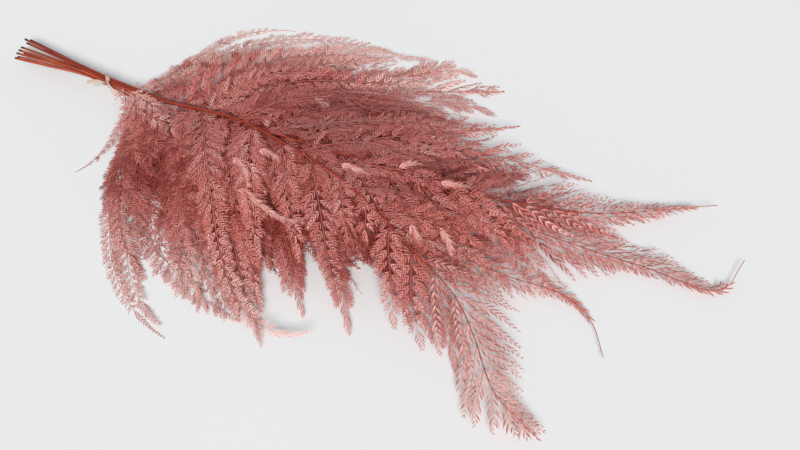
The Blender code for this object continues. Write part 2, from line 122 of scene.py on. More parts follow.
# Ten fronds, lowest layer first. "cut" is the stalk's cut end (x, y, z); "slot" its place in the tie
# (across in pitches, row); "bare" the bare length after the tie on the near and far side; "reach" the
# longest branch near and far; "taper" how fast the branches shorten; "end" is added to every branch where
# that isn't END_LENGTH; "whip" is the bare length at the tip; "line" is the midrib after the tie.
FRONDS = (
    {"cut": (-360, 41, 12), "slot": (-1, -1), "bare": (60, 80), "reach": (240, 210),
     "taper": (1.0, 1.0), "line": ((-180, 27), (-100, -4), (-20, -38), (60, -60))},
    {"cut": (-354, 67, 12), "slot": (1, -1), "bare": (76, 78), "reach": (190, 170),
     "taper": (1.0, 0.8), "line": ((-190, 47), (-110, 88), (-20, 140), (101, 195))},
    {"cut": (-358, 52, 10), "slot": (0, -1), "bare": (70, 74), "reach": (255, 240),
     "taper": (1.2, 1.2), "line": ((-150, 30), (-40, 24), (90, 36), (190, 56), (252, 58))},
    {"cut": (-356, 41, 15), "slot": (-1.5, 0), "bare": (46, 84), "reach": (250, 225),
     "taper": (1.1, 1.1), "line": ((-160, 23), (-80, 6), (20, -30), (105, -62))},
    {"cut": (-361, 46, 14), "slot": (-0.5, 0), "bare": (76, 88), "reach": (245, 210),
     "taper": (1.7, 1.6), "whip": 46.0,
     "line": ((-150, 24), (-34, 2), (77, -20), (173, -26), (225, -22), (257, -37), (277, -68))},
    {"cut": (-362, 55, 14), "slot": (0.5, 0), "bare": (84, 72), "reach": (245, 225),
     "taper": (1.5, 1.35), "whip": 34.0,
     "line": ((-150, 28), (-31, 12), (83, 20), (173, 27), (279, 33), (345, 31), (360, 73))},
    {"cut": (-359, 67, 15), "slot": (1.5, 0), "bare": (92, 66), "reach": (235, 250),
     "taper": (1.3, 1.4), "line": ((-150, 33), (-71, 22), (43, 58), (120, 90), (215, 106))},
    {"cut": (-363, 64, 17), "slot": (1, 1), "bare": (96, 72), "reach": (240, 275),
     "taper": (1.2, 1.2), "line": ((-160, 34), (-70, 24), (0, 40), (60, 80), (134, 142))},
    {"cut": (-358, 60, 17), "slot": (0, 1), "bare": (104, 100), "reach": (190, 225),
     "taper": (1.25, 1.4), "whip": 18.0,
     "line": ((-128, 24), (-62, 13), (30, 13), (94, 19), (184, 48), (233, 70), (280, 97), (325, 122))},
    {"cut": (-359, 48, 17), "slot": (-1, 1), "bare": (112, 118), "reach": (172, 150),
     "taper": (1.0, 1.0), "end": 9,
     "line": ((-128, 21), (-60, 5), (25, -18), (103, -51), (150, -71),
              (180, -100), (210, -137), (255, -162))},
)

# Branches set one by one: layer, distance after the tie, side, angle, turn, how late it turns, length.
OWN_BRANCHES = (
    (0, 26, -1, 42, -70, 0.8, 100),
    (0, 44, -1, 65.8, 64, 2.2, 284),
    (3, 58, -1, 61, 52, 3, 255),
    (9, 124, -1, 47, 108, 5, 276),
    (1, 32, 1, 75.4, 68.2, 3.3, 192),
    (1, 62, 1, 94, 116, 0.74, 281),
    (7, 96, 1, 84, 66, 0.9, 262),
)

# Side branches that have no node of their own: small ones near the tie, long ones along the thin edges.
# Same values as above.
SMALL_BRANCHES = (
    (3, 20, -1, 50, 40, 1, 14),
    (3, 32, -1, 50, 10, 1, 24),
    (3, 42, -1, 52, 20, 1, 46),
    (4, 38, -1, 64, 20, 1, 44),
    (4, 52, -1, 52, 10, 1, 84),
    (7, 24, -1, 58, 60, 1, 20),
    (7, 46, -1, 62, 40, 1, 46),
    (8, 40, -1, 66, 60, 1, 40),
    (8, 66, -1, 60, 30, 1, 52),
    (9, 84, -1, 56, 40, 1, 32),
    (6, 30, 1, 60, 30, 1, 26),
    (6, 48, 1, 84, 60, 1, 44),
    (7, 66, 1, 84, 60, 1, 52),
    (1, 46, 1, 77, 80, 1.1, 212),
    (1, 40, 1, 76, 66, 1.6, 150),
    (1, 54, 1, 104, 60, 1.6, 72),
    (1, 70, 1, 110, 90, 1.2, 100),
    (0, 60, -1, 57, 65, 1.6, 276),
    (0, 36, -1, 60, 30, 1.4, 120),
    (0, 52, -1, 74, 64, 1.6, 205),
    (3, 50, -1, 66, 50, 2, 210),
    (2, 60, -1, 66, 50, 2, 190),
)

# Layers, that is numbers of fronds from the lowest on.
TOP = 9  # it lies on all the others, and the loose branches are counted to it
FRINGED = 3  # the branches along the edge are counted to it
WASHED_LAYER = 4  # its outer half took less dye
FILLED_LAYERS = 4  # so many of the lowest fronds get a second branch between every two, up to FILLED_TO
FILLED_TO = 0.72
# Others get that near the tip, on these sides.
FULL_TIPS = {4: (-1, 1), 5: (-1, 1), 8: (-1, 1), TOP: (1,)}

# Share of the midrib after which a frond's branches are simple, with long needles only, and their look.
TIP_FROM = {1: 0.66, 2: 0.62, 4: 0.60, 5: 0.60, 6: 0.62, 7: 0.70, 8: 0.56, TOP: 0.60}
TIP_STYLE = {"closed": 0.80, "width": 0.76, "shoot": 18.0, "leaf": 11.5, "sparse": 1.75, "needle": 0.052}
TOP_STYLE = {"closed": 1.0, "shoot": 30.0, "leaf": 12.0, "sparse": 1.4, "root": 0.95, "needle": 0.048,
             "tint": 0.05}

# Where the drawn branches differ from the frame's: layer, side, from and to this share of the midrib,
# degrees laid forward along the midrib (None where that is as usual), share of the length.
REDRAWN = (
    (TOP, -1, 0.44, 0.68, 0.0, 0.98),
    (TOP, 1, 0.60, 0.68, 12.0, 1.0),
    (TOP, 1, 0.68, 1.0, 12.0, 1.15),
    (1, -1, 0.70, 1.0, 20.0, 0.8),
    (1, 1, 0.70, 1.0, 20.0, 0.8),
    (7, -1, 0.70, 1.0, 20.0, 0.8),
    (7, 1, 0.70, 1.0, 20.0, 0.8),
    (5, -1, 0.72, 1.0, None, 0.75),
    (5, 1, 0.72, 1.0, None, 1.25),
)

# Feather widths of branches set one by one, by layer and distance after the tie: share of the usual width.
OWN_WIDTHS = {(0, 26): 0.45, (0, 36): 0.8, (0, 44): 0.62, (0, 60): 1.1, (1, 32): 0.45, (1, 46): 0.65,
              (1, 62): 0.7, (3, 20): 0.6, (3, 32): 0.6, (3, 58): 1.1, (7, 96): 0.95, (TOP, 124): 0.85}
UNCUT = (26, 44, 58)  # branches set one by one this far after the tie run on past the gaps

# Where the edge of the heap has gaps: branches end at these places (middle and radius).
GAPS = (((-5, -102), 8), ((8, -117), 11), ((21, -133), 13), ((22, -67), 8), ((32, -86), 12), ((44, -107), 13),
        ((59, -64), 6), ((74, -73), 12), ((88, -92), 13), ((-110, -122), 9), ((-229, 12), 15),
        ((-85, -149), 13), ((-59, -158), 12), ((-37, -164), 12), ((-16, -164), 9), ((45, 164), 9),
        ((74, 169), 9), ((72, 134), 7))

# Plans of long branches along the edge of the heap. They have no node of their own.
FRINGE = (
    ((-13, -58), (7, -85), (27, -109), (41, -127)),
    ((38, -67), (58, -93), (72, -112), (83, -128)),
    ((75, -43), (95, -66), (112, -84), (126, -102)),
    ((96, -48), (118, -73), (135, -93), (148, -110)),
    ((131, -56), (150, -86), (164, -109), (176, -130)),
    ((9, 175), (29, 191), (49, 202), (71, 201)),
    ((37, 145), (59, 155), (84, 158), (107, 155)),
)

# Plans of loose branches lying on top of the heap. The last four are near the stalks, the right way up.
LOOSE_BRANCHES = (
    ((-57, -53), (-46, -55), (-36, -59), (-24, -63), (-14, -66), (1, -67), (11, -62), (18, -53)),
    ((17, -5), (26, -6), (37, -6), (48, -6)),
    ((-55, -16), (-45, -17), (-36, -19), (-29, -22)),
    ((65, 11), (70, 19), (76, 25), (82, 28)),
    ((94, -32), (100, -37), (105, -41), (111, -46)),
    ((116, -24), (124, -29), (131, -35), (137, -43)),
    ((99, 16), (107, 19), (116, 23), (127, 29)),
    ((-74, -27), (-62, -34), (-53, -41), (-45, -50)),
    ((-180, 5), (-166, 2), (-148, -7), (-130, -19)),
    ((-219, 29), (-209, 27), (-197, 26), (-187, 28)),
    ((-205, 28), (-190, 21), (-176, 13), (-162, 2)),
)
LOOSE_PALE = 8  # so many of them show their undersides


# ---- the heap and the lines in it ----
SEEDS = {"stalk": 40, "layout": 100, "frond": 500, "fringe": 700, "loose": 900}


def random_for(kind, number):
    """Random draws of one stalk, frond or branch. They are the same every time."""
    return np.random.default_rng(SEEDS[kind] + number)


def smooth(t):
    t = np.clip(t, 0.0, 1.0)
    return t * t * (3.0 - 2.0 * t)


def beside_spine(x, y):
    xs, ys = zip(*SPINE)
    return y - np.interp(x, xs, ys)


def layer_step(x, y):
    """Height of one layer of frond at a place."""
    along = smooth((x - HEAP_START) / HEAP_RISE) * (1.0 - smooth((x - HEAP_FALL_FROM) / HEAP_FALL))
    d = beside_spine(x, y)
    across = np.exp(-np.abs(d / np.where(d < 0.0, HEAP_NEAR, HEAP_FAR)) ** 2.4)
    return EDGE_STEP + (MID_STEP - EDGE_STEP) * along * across


def layer_height(layer, x, y):
    d = beside_spine(x, y)
    past = np.maximum(x - TIE_PLACE[0], 0.0)
    lift = LIFT * np.exp(-((past / LIFT_ALONG) ** 2)) * np.exp(-((d / LIFT_ACROSS) ** 2))
    return lift + layer_step(x, y) * (layer + 0.5)


def tie_ways():
    """Directions at the tie: ahead along the stalks, and near, across them towards the near side."""
    a = math.radians(TIE_HEADING)
    return np.array([math.cos(a), math.sin(a), 0.0]), np.array([math.sin(a), -math.cos(a), 0.0])


def tie_slot(across, row):
    """Middle of a stalk where the tie goes round."""
    _, near = tie_ways()
    x, y = np.array(TIE_PLACE) - near[:2] * (across * STALK_PITCH)
    return np.array([x, y, TIE_HEIGHT + row * STALK_ROW])


def run_of(points):
    """Distance along a line at each of its points."""
    return np.concatenate([[0.0], np.cumsum(np.linalg.norm(np.diff(points, axis=0), axis=1))])


def divided(points, run, places):
    """Points of a line at these distances along it."""
    return np.stack([np.interp(places, run, values) for values in points.T], 1)


def through(points, per_span=40, count=240):
    """A smooth, evenly divided line through points, and its length."""
    p = np.array(points, float)
    p = np.vstack([2.0 * p[0] - p[1], p, 2.0 * p[-1] - p[-2]])
    t = np.linspace(0.0, 1.0, per_span, endpoint=False)[:, None]
    parts = []
    for a, b, c, d in zip(p[:-3], p[1:-2], p[2:-1], p[3:]):
        square = (2.0 * a - 5.0 * b + 4.0 * c - d) * t**2
        cube = (3.0 * b - a - 3.0 * c + d) * t**3
        parts.append(0.5 * (2.0 * b + (c - a) * t + square + cube))
    dense = np.vstack(parts + [p[-2:-1]])
    run = run_of(dense)
    return divided(dense, run, np.linspace(0.0, run[-1], count)), float(run[-1])


def at(line, length, s):
    """Place and heading on a line at distance s from its start."""
    f = min(max(s / length, 0.0), 1.0) * (len(line) - 1)
    i = int(min(f, len(line) - 2))
    place = line[i] + (line[i + 1] - line[i]) * (f - i)
    ahead = line[min(i + 3, len(line) - 1)] - line[max(i - 2, 0)]
    return place, math.atan2(ahead[1], ahead[0])


def frond_line(layer):
    """Plan of a frond's midrib from the tie to its tip."""
    frond = FRONDS[layer]
    start = tie_slot(*frond["slot"])[:2]
    return through([tuple(start)] + list(frond["line"]))


def rib_height(layer, x, y):
    """Height of the midrib: it leaves the tie from its slot and settles into its layer."""
    slot = tie_slot(*FRONDS[layer]["slot"])
    settle = smooth((x - TIE_PLACE[0] - 5.0) / 60.0)
    return slot[2] * (1.0 - settle) + layer_height(layer, x, y) * settle


def rib_radius(share):
    """Radius of stalk and midrib, by share of the way from cut end to tip."""
    return STALK_RADIUS + (STALK_TIP_RADIUS - STALK_RADIUS) * share**1.2


def branch_shape(fern, s, side, k, length, phase):
    """Angle, turn and length of one ordinary side branch."""
    near = side < 0
    one = 0 if near else 1
    u = (s - fern["bare"][one]) / (length - fern["bare"][one])
    ramp = smooth(u * 8.0)
    reach = fern["reach"][one] * (1.0 - u) ** fern["taper"][one]
    reach *= 0.30 + 0.70 * ramp if near else 0.75 + 0.25 * ramp
    reach = reach * (1.0 + 0.07 * math.sin(k * 1.9 + phase[0])) + fern.get("end", END_LENGTH)
    if near:
        angle = 54.0 - 14.0 * u + 18.0 * math.exp(-u / 0.06)
        turn = 11.0 + 8.0 * math.sin(k * 0.22 + phase[1]) + 20.0 * math.exp(-u / 0.08)
    else:
        angle = 44.0 + 48.0 * math.exp(-u / 0.25)
        turn = 52.0 * (1.0 - u) + 6.0 * math.sin(k * 0.22 + phase[2])
    angle += 3.0 * math.sin(k * 0.3 + phase[3])
    if reach < 45.0:
        turn *= 0.3
    return angle, turn, reach


def blade_start(layer):
    """Distance after the tie of a frond's first side branch."""
    own = [b[1] for b in OWN_BRANCHES if b[0] == layer]
    return min(list(FRONDS[layer]["bare"]) + own)


def branches(layer):
    """Side branches of a frond from base to tip, each with its line in plan."""
    fern = FRONDS[layer]
    line, length = frond_line(layer)
    phase = random_for("layout", layer).uniform(0.0, 6.28, 4)
    first = blade_start(layer)
    found = set_branches(OWN_BRANCHES, layer, line, length, first)
    s = first
    k = 0
    while s < length - fern.get("whip", 9.0):
        side = -1 if k % 2 == 0 else 1
        share = (s - first) / (length - first)
        beside = [b for b in found if abs(b["s"] - s) < 0.5 * BRANCH_ROOT + 3.0]
        taken = [b for b in found if b["side"] == side and abs(b["s"] - s) < 0.3 * gap_at(share)]
        if s >= fern["bare"][0 if side < 0 else 1] and not beside and not taken:
            angle, turn, reach = branch_shape(fern, s, side, k, length, phase)
            b = new_branch(line, length, s, side, share, angle, turn, 1.0, reach)
            clear = clear_share(b, found)
            while clear < 1.0 and b["reach"] > SHORTEST:
                b = new_branch(line, length, s, side, share, angle, turn, 1.0, b["reach"] * clear)
                clear = clear_share(b, found)
            if b["reach"] > SHORTEST:
                found.append(b)
        s += 0.5 * gap_at(share)
        k += 1
    found.sort(key=lambda b: b["s"])
    return line, length, found


def set_branches(table, layer, line, length, first):
    """The branches that a table sets one by one on one frond."""
    return [new_branch(line, length, s, side, (s - first) / (length - first), angle, turn, late, reach, True)
            for own_layer, s, side, angle, turn, late, reach in table if own_layer == layer]


def gap_at(share):
    """Distance between neighbouring branches of one side."""
    return BRANCH_GAP_END + BRANCH_GAP_BASE * (1.0 - share) ** 0.8


def new_branch(line, length, s, side, share, angle, turn, late, reach, own=False):
    """A branch as a curve in plan that turns back by turn, the more of it near the tip the larger late is."""
    place, heading = at(line, length, s)
    u = (np.arange(BRANCH_STEPS) + 0.5) / BRANCH_STEPS
    away = heading + side * (math.radians(angle) - math.radians(turn) * u**late)
    hop = np.stack([np.cos(away), np.sin(away)], 1) * reach / BRANCH_STEPS
    plan = np.vstack([place, place + np.cumsum(hop, 0)])
    return {"s": s, "side": side, "share": share, "reach": reach, "plan": plan,
            "place": place, "own": own}


def clear_share(b, others):
    """Share of a branch's length that stays clear of the branches there already."""
    same = [(o["plan"], 10.0 if o["own"] else 6.0) for o in others if o["side"] == b["side"]]
    for k in range(12, len(b["plan"])):
        p = b["plan"][k]
        if any(np.linalg.norm(plan - p, axis=1).min() < space for plan, space in same):
            return max(k - 6, 6) / (len(b["plan"]) - 1)
    return 1.0


def branch_height(layer, b_place, x, y):
    """Height of a branch: from the midrib's height where it grows, settling into the layer."""
    root = rib_height(layer, b_place[0], b_place[1]) - layer_height(layer, b_place[0], b_place[1])
    away = np.hypot(x - b_place[0], y - b_place[1])
    return layer_height(layer, x, y) + root * np.exp(-away / 30.0)


# ---- growth: where every rib, shoot and leaflet goes ----
ONE_LEAFLET = 13.0  # a branch shorter than this is drawn as one leaflet
SHOOT_FROM = 6.4  # half width of a branch above which it carries shoots and not bare leaflets
LEAFLET_GAP = 3.05  # between the leaflets of a shoot
SHOOT_ANGLE = 50.0  # degrees, of shoots from their branch
LEAFLET_ANGLE = 37.0  # of leaflets from their shoot
BARE_ANGLE = 34.0  # of leaflets that grow straight on a branch
TIP_ANGLE = 25.0  # of leaflets that grow straight on a midrib
# where undersides show: middle, radius and share of the shoots
PALE_PLACES = ((-205, 120, 62, 0.6), (-150, 160, 60, 0.6), (-100, 175, 50, 0.4), (-215, 60, 30, 0.4))


def part_way(share, *lines):
    """What several lines of values say at shares of the way along them."""
    f = share * (len(lines[0]) - 1)
    i = np.minimum(f.astype(int), len(lines[0]) - 2)
    g = (f - i)[:, None]
    return [line[i] * (1.0 - g) + line[i + 1] * g for line in lines]


def frames_along(points, roll=0.0):
    """Ahead, left and up directions at each point of a line, rolled about it by one or many angles."""
    ahead = unit(np.gradient(points, axis=0))
    left = unit(np.cross([0.0, 0.0, 1.0], ahead))
    up = np.cross(ahead, left)
    roll = (roll + np.zeros(len(points)))[:, None]
    c, s = np.cos(roll), np.sin(roll)
    return ahead, left * c + up * s, up * c - left * s


def half_width(u, reach, root):
    """Usual half width of a branch's feather at share u of its length. It begins with the share root."""
    widest = 6.0 + 21.0 * (1.0 - math.exp(-reach / 115.0))
    return widest * min(1.0, root + 5.0 * u) * (1.0 - u) ** 0.78 + 0.8


def branch_stations(rng, reach, style):
    """Distances along a branch where something grows, with its side and the half width there."""
    found = []
    for side in (-1, 1):
        s = 2.4 + rng.uniform(0.0, 2.4)
        while s < reach - 0.8:
            wide = half_width(s / reach, reach, style.get("root", 0.55)) * style["width"]
            if style.get("slim"):
                wide *= min(1.0, 0.25 + 3.0 * s / reach)
            if rng.random() > 0.02:
                found.append((s, side, wide))
            if wide > style["shoot"]:
                gap = 6.7 + 0.12 * wide
            else:
                gap = (2.9 + 0.10 * wide) * style.get("sparse", 1.0)
            s += gap * rng.uniform(0.92, 1.08)
    return np.array(found)


def unit(v):
    return v / np.linalg.norm(v, axis=1)[:, None]


def turned(ahead, left, angle):
    """Directions turned away from ahead towards left."""
    return ahead * np.cos(angle)[:, None] + left * np.sin(angle)[:, None]


def sprouting(rng, ahead, out, up, angle, spread, lift, wobble):
    """Directions at an angle out of a line and a little above its plane, both scattered, in degrees."""
    angle = np.radians(angle + rng.normal(0.0, spread, len(ahead)))
    tilt = np.radians(rng.normal(lift, wobble, len(ahead)))
    return unit(turned(ahead, out, angle) + up * np.sin(tilt)[:, None])


def lightness(x, y):
    """How far the dye is washed out at a place: most along the thin edges of the heap."""
    d = beside_spine(x, y)
    near = 0.8 * smooth((-d - 68.0) / 70.0) * (1.0 - 0.45 * smooth((x - 60.0) / 120.0))
    far = smooth((d - 95.0) / 70.0) * (1.0 - 0.6 * smooth((x + 60.0) / 160.0))
    tips = 0.10 * smooth((x - 190.0) / 120.0)
    stalks = 0.5 * np.exp(-np.hypot(x + 205.0, y - 28.0) / 30.0)
    return np.clip(near + far + tips + stalks, 0.0, 1.0)


def tint_at(rng, places, pale, lighter=0.0):
    """Tint of leaflets at places: under one half for the upper side, over it for the pale underside."""
    x, y, z = places.T
    slow = np.sin(x * 0.045 + 1.3 * np.sin(y * 0.06)) * 0.5 + np.sin(y * 0.11 + z * 0.2) * 0.3
    # painted shade: leaflets lying deeper under the top layer are drawn darker, standing in for the shade
    # inside the heap
    inside = smooth((layer_height(TOP, x, y) - z - 2.0) / 20.0)
    tint = 0.205 + lighter + 0.30 * lightness(x, y) + 0.04 * slow + rng.normal(0.0, 0.04, len(x))
    tint = tint - 0.13 * inside
    return np.clip(tint, 0.02, 0.47) + 0.5 * pale


def grow_branch(rng, points, reach, roll, style, leaves):
    """Adds the leaflets and shoot ribs of one side branch to leaves, a list of blocks of spindles.

    style: "closed" scales the angles, "width" the feather's half width, "shoot" is the half width from
    which it carries shoots, "leaf" the longest bare leaflet, "needle" how fast bare leaflets widen with
    their length, "sparse" scales the gaps between them, "root" is the half width's share at the root,
    "slim" draws the root in, "pale" is the share of undersides and "tint" makes all of it lighter.
    """
    stations = branch_stations(rng, reach, style)
    if not len(stations):
        return
    s, side, wide = stations.T
    ahead, _, up = frames_along(points, roll)
    base, ahead, up = part_way(s / reach, points, ahead, up)
    ahead = unit(ahead)
    up = unit(up)
    out = np.cross(up, ahead) * side[:, None]
    n = len(s)
    pale = np.zeros(n)
    for x, y, radius, part in PALE_PLACES:
        near = np.hypot(base[:, 0] - x, base[:, 1] - y) < radius
        pale[near & (rng.random(n) < part)] = 1.0
    pale[rng.random(n) < style["pale"]] = 1.0

    bare = wide <= style["shoot"]
    go = sprouting(rng, ahead, out, up, BARE_ANGLE * style["closed"], 3.5, 2.0, 8.0)
    length = np.minimum(wide * 1.6, style["leaf"]) * rng.uniform(0.85, 1.12, n)
    half_wide = 0.32 + style.get("needle", 0.035) * length
    sag = rng.normal(0.05, 0.06, n)
    tint = tint_at(rng, base, pale, style["tint"])
    add_spindles(leaves, base[bare], go[bare], up[bare], length[bare], half_wide[bare],
                 -0.12 * side[bare], sag[bare], tint[bare])

    shoot = ~bare
    if shoot.any():
        go = sprouting(rng, ahead, out, up, SHOOT_ANGLE * style["closed"], 4.0, 3.0, 6.0)
        length = wide * 1.22 * rng.uniform(0.88, 1.12, n)
        tint = tint_at(rng, base, pale, style["tint"])
        grow_shoots(rng, base[shoot], go[shoot], up[shoot], length[shoot], side[shoot], tint[shoot], leaves)


def grow_shoots(rng, base, go, up, length, side, tint, leaves):
    """Adds shoots, each a curved rib with leaflets in two rows and one at its tip."""
    bend = -0.20 * side + rng.normal(0.0, 0.05, len(side))
    sag = rng.normal(0.08, 0.06, len(side))
    # painted shade: shoot ribs take half their leaflets' tint and are drawn darker, so the gaps between
    # leaflets read as shade; pale undersides keep their tint
    add_spindles(leaves, base, go, up, length, np.full(len(side), 0.36), bend, sag,
                 np.where(tint > 0.5, tint, 0.02 + tint * 0.5))
    across = unit(np.cross(up, go))
    rows = []
    for k in range(len(side)):
        for row in (-1, 1):
            s = 1.7 + (0.5 if row > 0 else 0.0)
            while s < length[k] - 1.0:
                rows.append((k, row, s))
                s += LEAFLET_GAP - 0.03 * (length[k] - s < 8.0) * (8.0 - length[k] + s)
        rows.append((k, 0, length[k] * 0.84))
    k, row, d = np.array(rows).T
    k = k.astype(int)
    keep = rng.random(len(k)) > 0.012
    k, row, d = k[keep], row[keep], d[keep]
    t = (d / length[k])[:, None]
    long = length[k][:, None]
    b = bend[k][:, None]
    g = sag[k][:, None]
    foot = base[k] + go[k] * long * t + (across[k] * b - up[k] * g) * long * t**2
    way = unit(go[k] + (across[k] * b - up[k] * g) * 2.0 * t)
    over = unit(across[k] - way * (across[k] * way).sum(1)[:, None])
    flat = np.cross(way, over)
    n = len(k)
    angle = np.where(row == 0, 0.0, LEAFLET_ANGLE - 8.0 * t[:, 0])
    leaf = sprouting(rng, way, over * np.where(row == 0, 1.0, row)[:, None], flat, angle, 3.5, 3.0, 6.0)
    left = length[k] - d
    size = np.minimum(3.5 + 0.48 * left, 8.4) * np.minimum(1.0, 0.7 + 0.1 * d)
    size = np.where(row == 0, 4.6, size) * rng.uniform(0.87, 1.13, n)
    add_spindles(leaves, foot, leaf, flat, size, 0.27 + 0.036 * size, -0.08 * row,
                 rng.normal(0.05, 0.05, n), np.clip(tint[k] + rng.normal(0.0, 0.025, n), 0.01, 0.99))


def add_spindles(leaves, base, ahead, up, length, half_wide, bend, sag, tint):
    if len(base):
        leaves.append((base, ahead, up, length, half_wide, bend, sag, tint))


def regrown(plan, factor):
    """A line in plan cut short, or grown on straight ahead, and evenly divided again."""
    hop = plan[-1] - plan[-3]
    hop = hop / np.linalg.norm(hop)
    run = run_of(plan)
    joined = np.vstack([plan, plan[-1] + hop * run[-1] * 2.0])
    places = np.linspace(0.0, run[-1] * factor, len(plan))
    return divided(joined, np.append(run, run[-1] * 3.0), places)


def swung(plan, degrees):
    """A line in plan turned about its first point."""
    a = math.radians(degrees)
    turn = np.array([[math.cos(a), math.sin(a)], [-math.sin(a), math.cos(a)]])
    return plan[0] + (plan - plan[0]) @ turn


def reshaped(layer, b):
    """A branch as it is drawn: a little longer, and towards the tips laid more along the midrib."""
    if b["own"]:
        return b
    share, side = b["share"], b["side"]
    forward = 15.0 * smooth((share - 0.5) / 0.3)
    factor = 1.08
    for at_layer, at_side, start, stop, swing, longer in REDRAWN:
        if (layer, side) == (at_layer, at_side) and start < share <= stop:
            forward = forward if swing is None else swing
            factor = longer
    if layer == TOP and side < 0 and share > 0.68:
        forward = 16.0
        factor = (66.0 * min(1.0, (1.0 - share) / 0.22) + 2.0) / b["reach"]
    plan = swung(regrown(b["plan"], factor), -side * forward)
    return {**b, "plan": plan, "reach": b["reach"] * factor}


def branch_points(rng, layer, b):
    """A branch's line with the small waves of a dried leaf."""
    plan = b["plan"]
    z = branch_height(layer, b["place"], plan[:, 0], plan[:, 1])
    u = np.linspace(0.0, 1.0, len(plan))
    wave = np.sin(u * rng.uniform(3.0, 7.0) + rng.uniform(0.0, 6.3)) * u * min(3.0, 0.02 * b["reach"])
    sway = np.sin(u * rng.uniform(4.0, 8.0) + rng.uniform(0.0, 6.3)) * u * min(3.5, 0.022 * b["reach"])
    go = unit((plan[-1] - plan[0])[None])[0]
    if not b["own"]:
        plan = plan + sway[:, None] * np.array([-go[1], go[0]])
    return np.column_stack([plan, z + wave])


def all_branches(layer):
    """Every side branch of a frond, also those that have no node of their own."""
    line, length, found = branches(layer)
    found = [reshaped(layer, b) for b in found]
    if layer < FILLED_LAYERS:
        sides, first, last = (-1, 1), 0.0, FILLED_TO
    else:
        sides, last = FULL_TIPS.get(layer, ()), 1.0
        first = TIP_FROM.get(layer, 1.0) - (0.0 if layer == TOP else 0.06)
    for side in sides:
        row = [b for b in found if b["side"] == side and not b["own"] and first <= b["share"] < last]
        for b, after in zip(row, row[1:]):
            found.append(between(line, length, b, after))
    found += set_branches(SMALL_BRANCHES, layer, line, length, blade_start(layer))
    found = [b if b["own"] and b["s"] in UNCUT else kept_clear(b) for b in found]
    return line, length, found


def kept_clear(b):
    """A branch cut short where it would cross one of the gaps in the edge of the heap."""
    for (x, y), radius in GAPS:
        inside = np.hypot(b["plan"][:, 0] - x, b["plan"][:, 1] - y) < radius
        inside[:20] = False
        if inside.any():
            factor = np.argmax(inside) / (len(b["plan"]) - 1)
            b = {**b, "plan": regrown(b["plan"], factor), "reach": b["reach"] * factor}
    return b


def between(line, length, b, after):
    """A branch that grows between two neighbours, with their middle shape."""
    s = 0.5 * (b["s"] + after["s"])
    place, _ = at(line, length, s)
    shape = 0.5 * (b["plan"] - b["plan"][0] + after["plan"] - after["plan"][0])
    return {**b, "s": s, "place": place, "plan": place + shape, "reach": 0.5 * (b["reach"] + after["reach"])}


def lying(course, layer):
    """A line over the heap at the height of a layer, and its length."""
    plan, reach = through(course, count=60)
    return np.column_stack([plan, layer_height(layer, plan[:, 0], plan[:, 1])]), reach


def grow_fringe(number):
    """A long branch along the edge of the heap, low under the others."""
    rng = random_for("fringe", number)
    points, reach = lying(FRINGE[number], FRINGED)
    leaves = []
    roll = np.radians(rng.normal(0.0, 8.0))
    style = {"closed": 0.8, "width": 1.0, "shoot": 9.0, "leaf": 9.5, "pale": 0.02, "sparse": 1.1,
             "tint": 0.06}
    grow_branch(rng, points, reach, roll, style, leaves)
    return leaves, (points, 0.5, 0.6)


def branch_style(rng, layer, b):
    """How the feather of a branch looks."""
    lighter = 0.13 if layer == WASHED_LAYER and b["share"] > 0.5 else 0.0
    style = {"closed": rng.uniform(0.76, 1.16), "width": 1.0, "shoot": SHOOT_FROM, "leaf": 8.0,
             "pale": 0.004, "tint": rng.normal(0.0, 0.035) + lighter, "slim": b["own"] and b["s"] < 62}
    if rng.random() < 0.04 and b["reach"] > 60.0:
        style["shoot"] = 12.0
    if not b["own"] and b["share"] > TIP_FROM.get(layer, 1.0):
        style.update(TIP_STYLE, tint=style["tint"] + 0.05)
        if layer == TOP:
            style.update(TOP_STYLE, width=0.95 if b["side"] < 0 else 0.62)
    if b["own"] and (layer, b["s"]) in OWN_WIDTHS:
        style["width"] = OWN_WIDTHS[layer, b["s"]]
        style["shoot"] = SHOOT_FROM * style["width"]
    return style


def grow_frond(layer):
    """Leaflets of both sides and side ribs of one frond, in millimetres."""
    rng = random_for("frond", layer)
    line, length, found = all_branches(layer)
    leaves = {-1: [], 1: []}
    ribs = []
    for b in found:
        points = branch_points(rng, layer, b)
        reach = b["reach"]
        if reach < ONE_LEAFLET:
            go = unit((points[-1] - points[0])[None])
            up = np.array([[0.0, 0.0, 1.0]])
            add_spindles(leaves[b["side"]], points[:1], go, up,
                         *np.array([[reach], [0.7], [0.0], [0.1], [0.2]]))
            continue
        twist = np.radians(rng.normal(0.0, 26.0)) * np.linspace(0.0, 1.0, len(points))
        roll = np.radians(rng.normal(-7.0 * b["side"], 13.0)) + twist
        if layer == TOP and b["share"] > 0.5:
            roll = 0.3 * roll
        grow_branch(rng, points, reach, roll, branch_style(rng, layer, b), leaves[b["side"]])
        root = rib_radius((b["s"] + CUT_LENGTH) / (length + CUT_LENGTH))
        ribs.append((points, min(root * 0.5, 0.22 + 0.0026 * reach), rng.uniform(0.1, 0.9)))
    grow_tip(rng, layer, line, length, leaves)
    return leaves, ribs


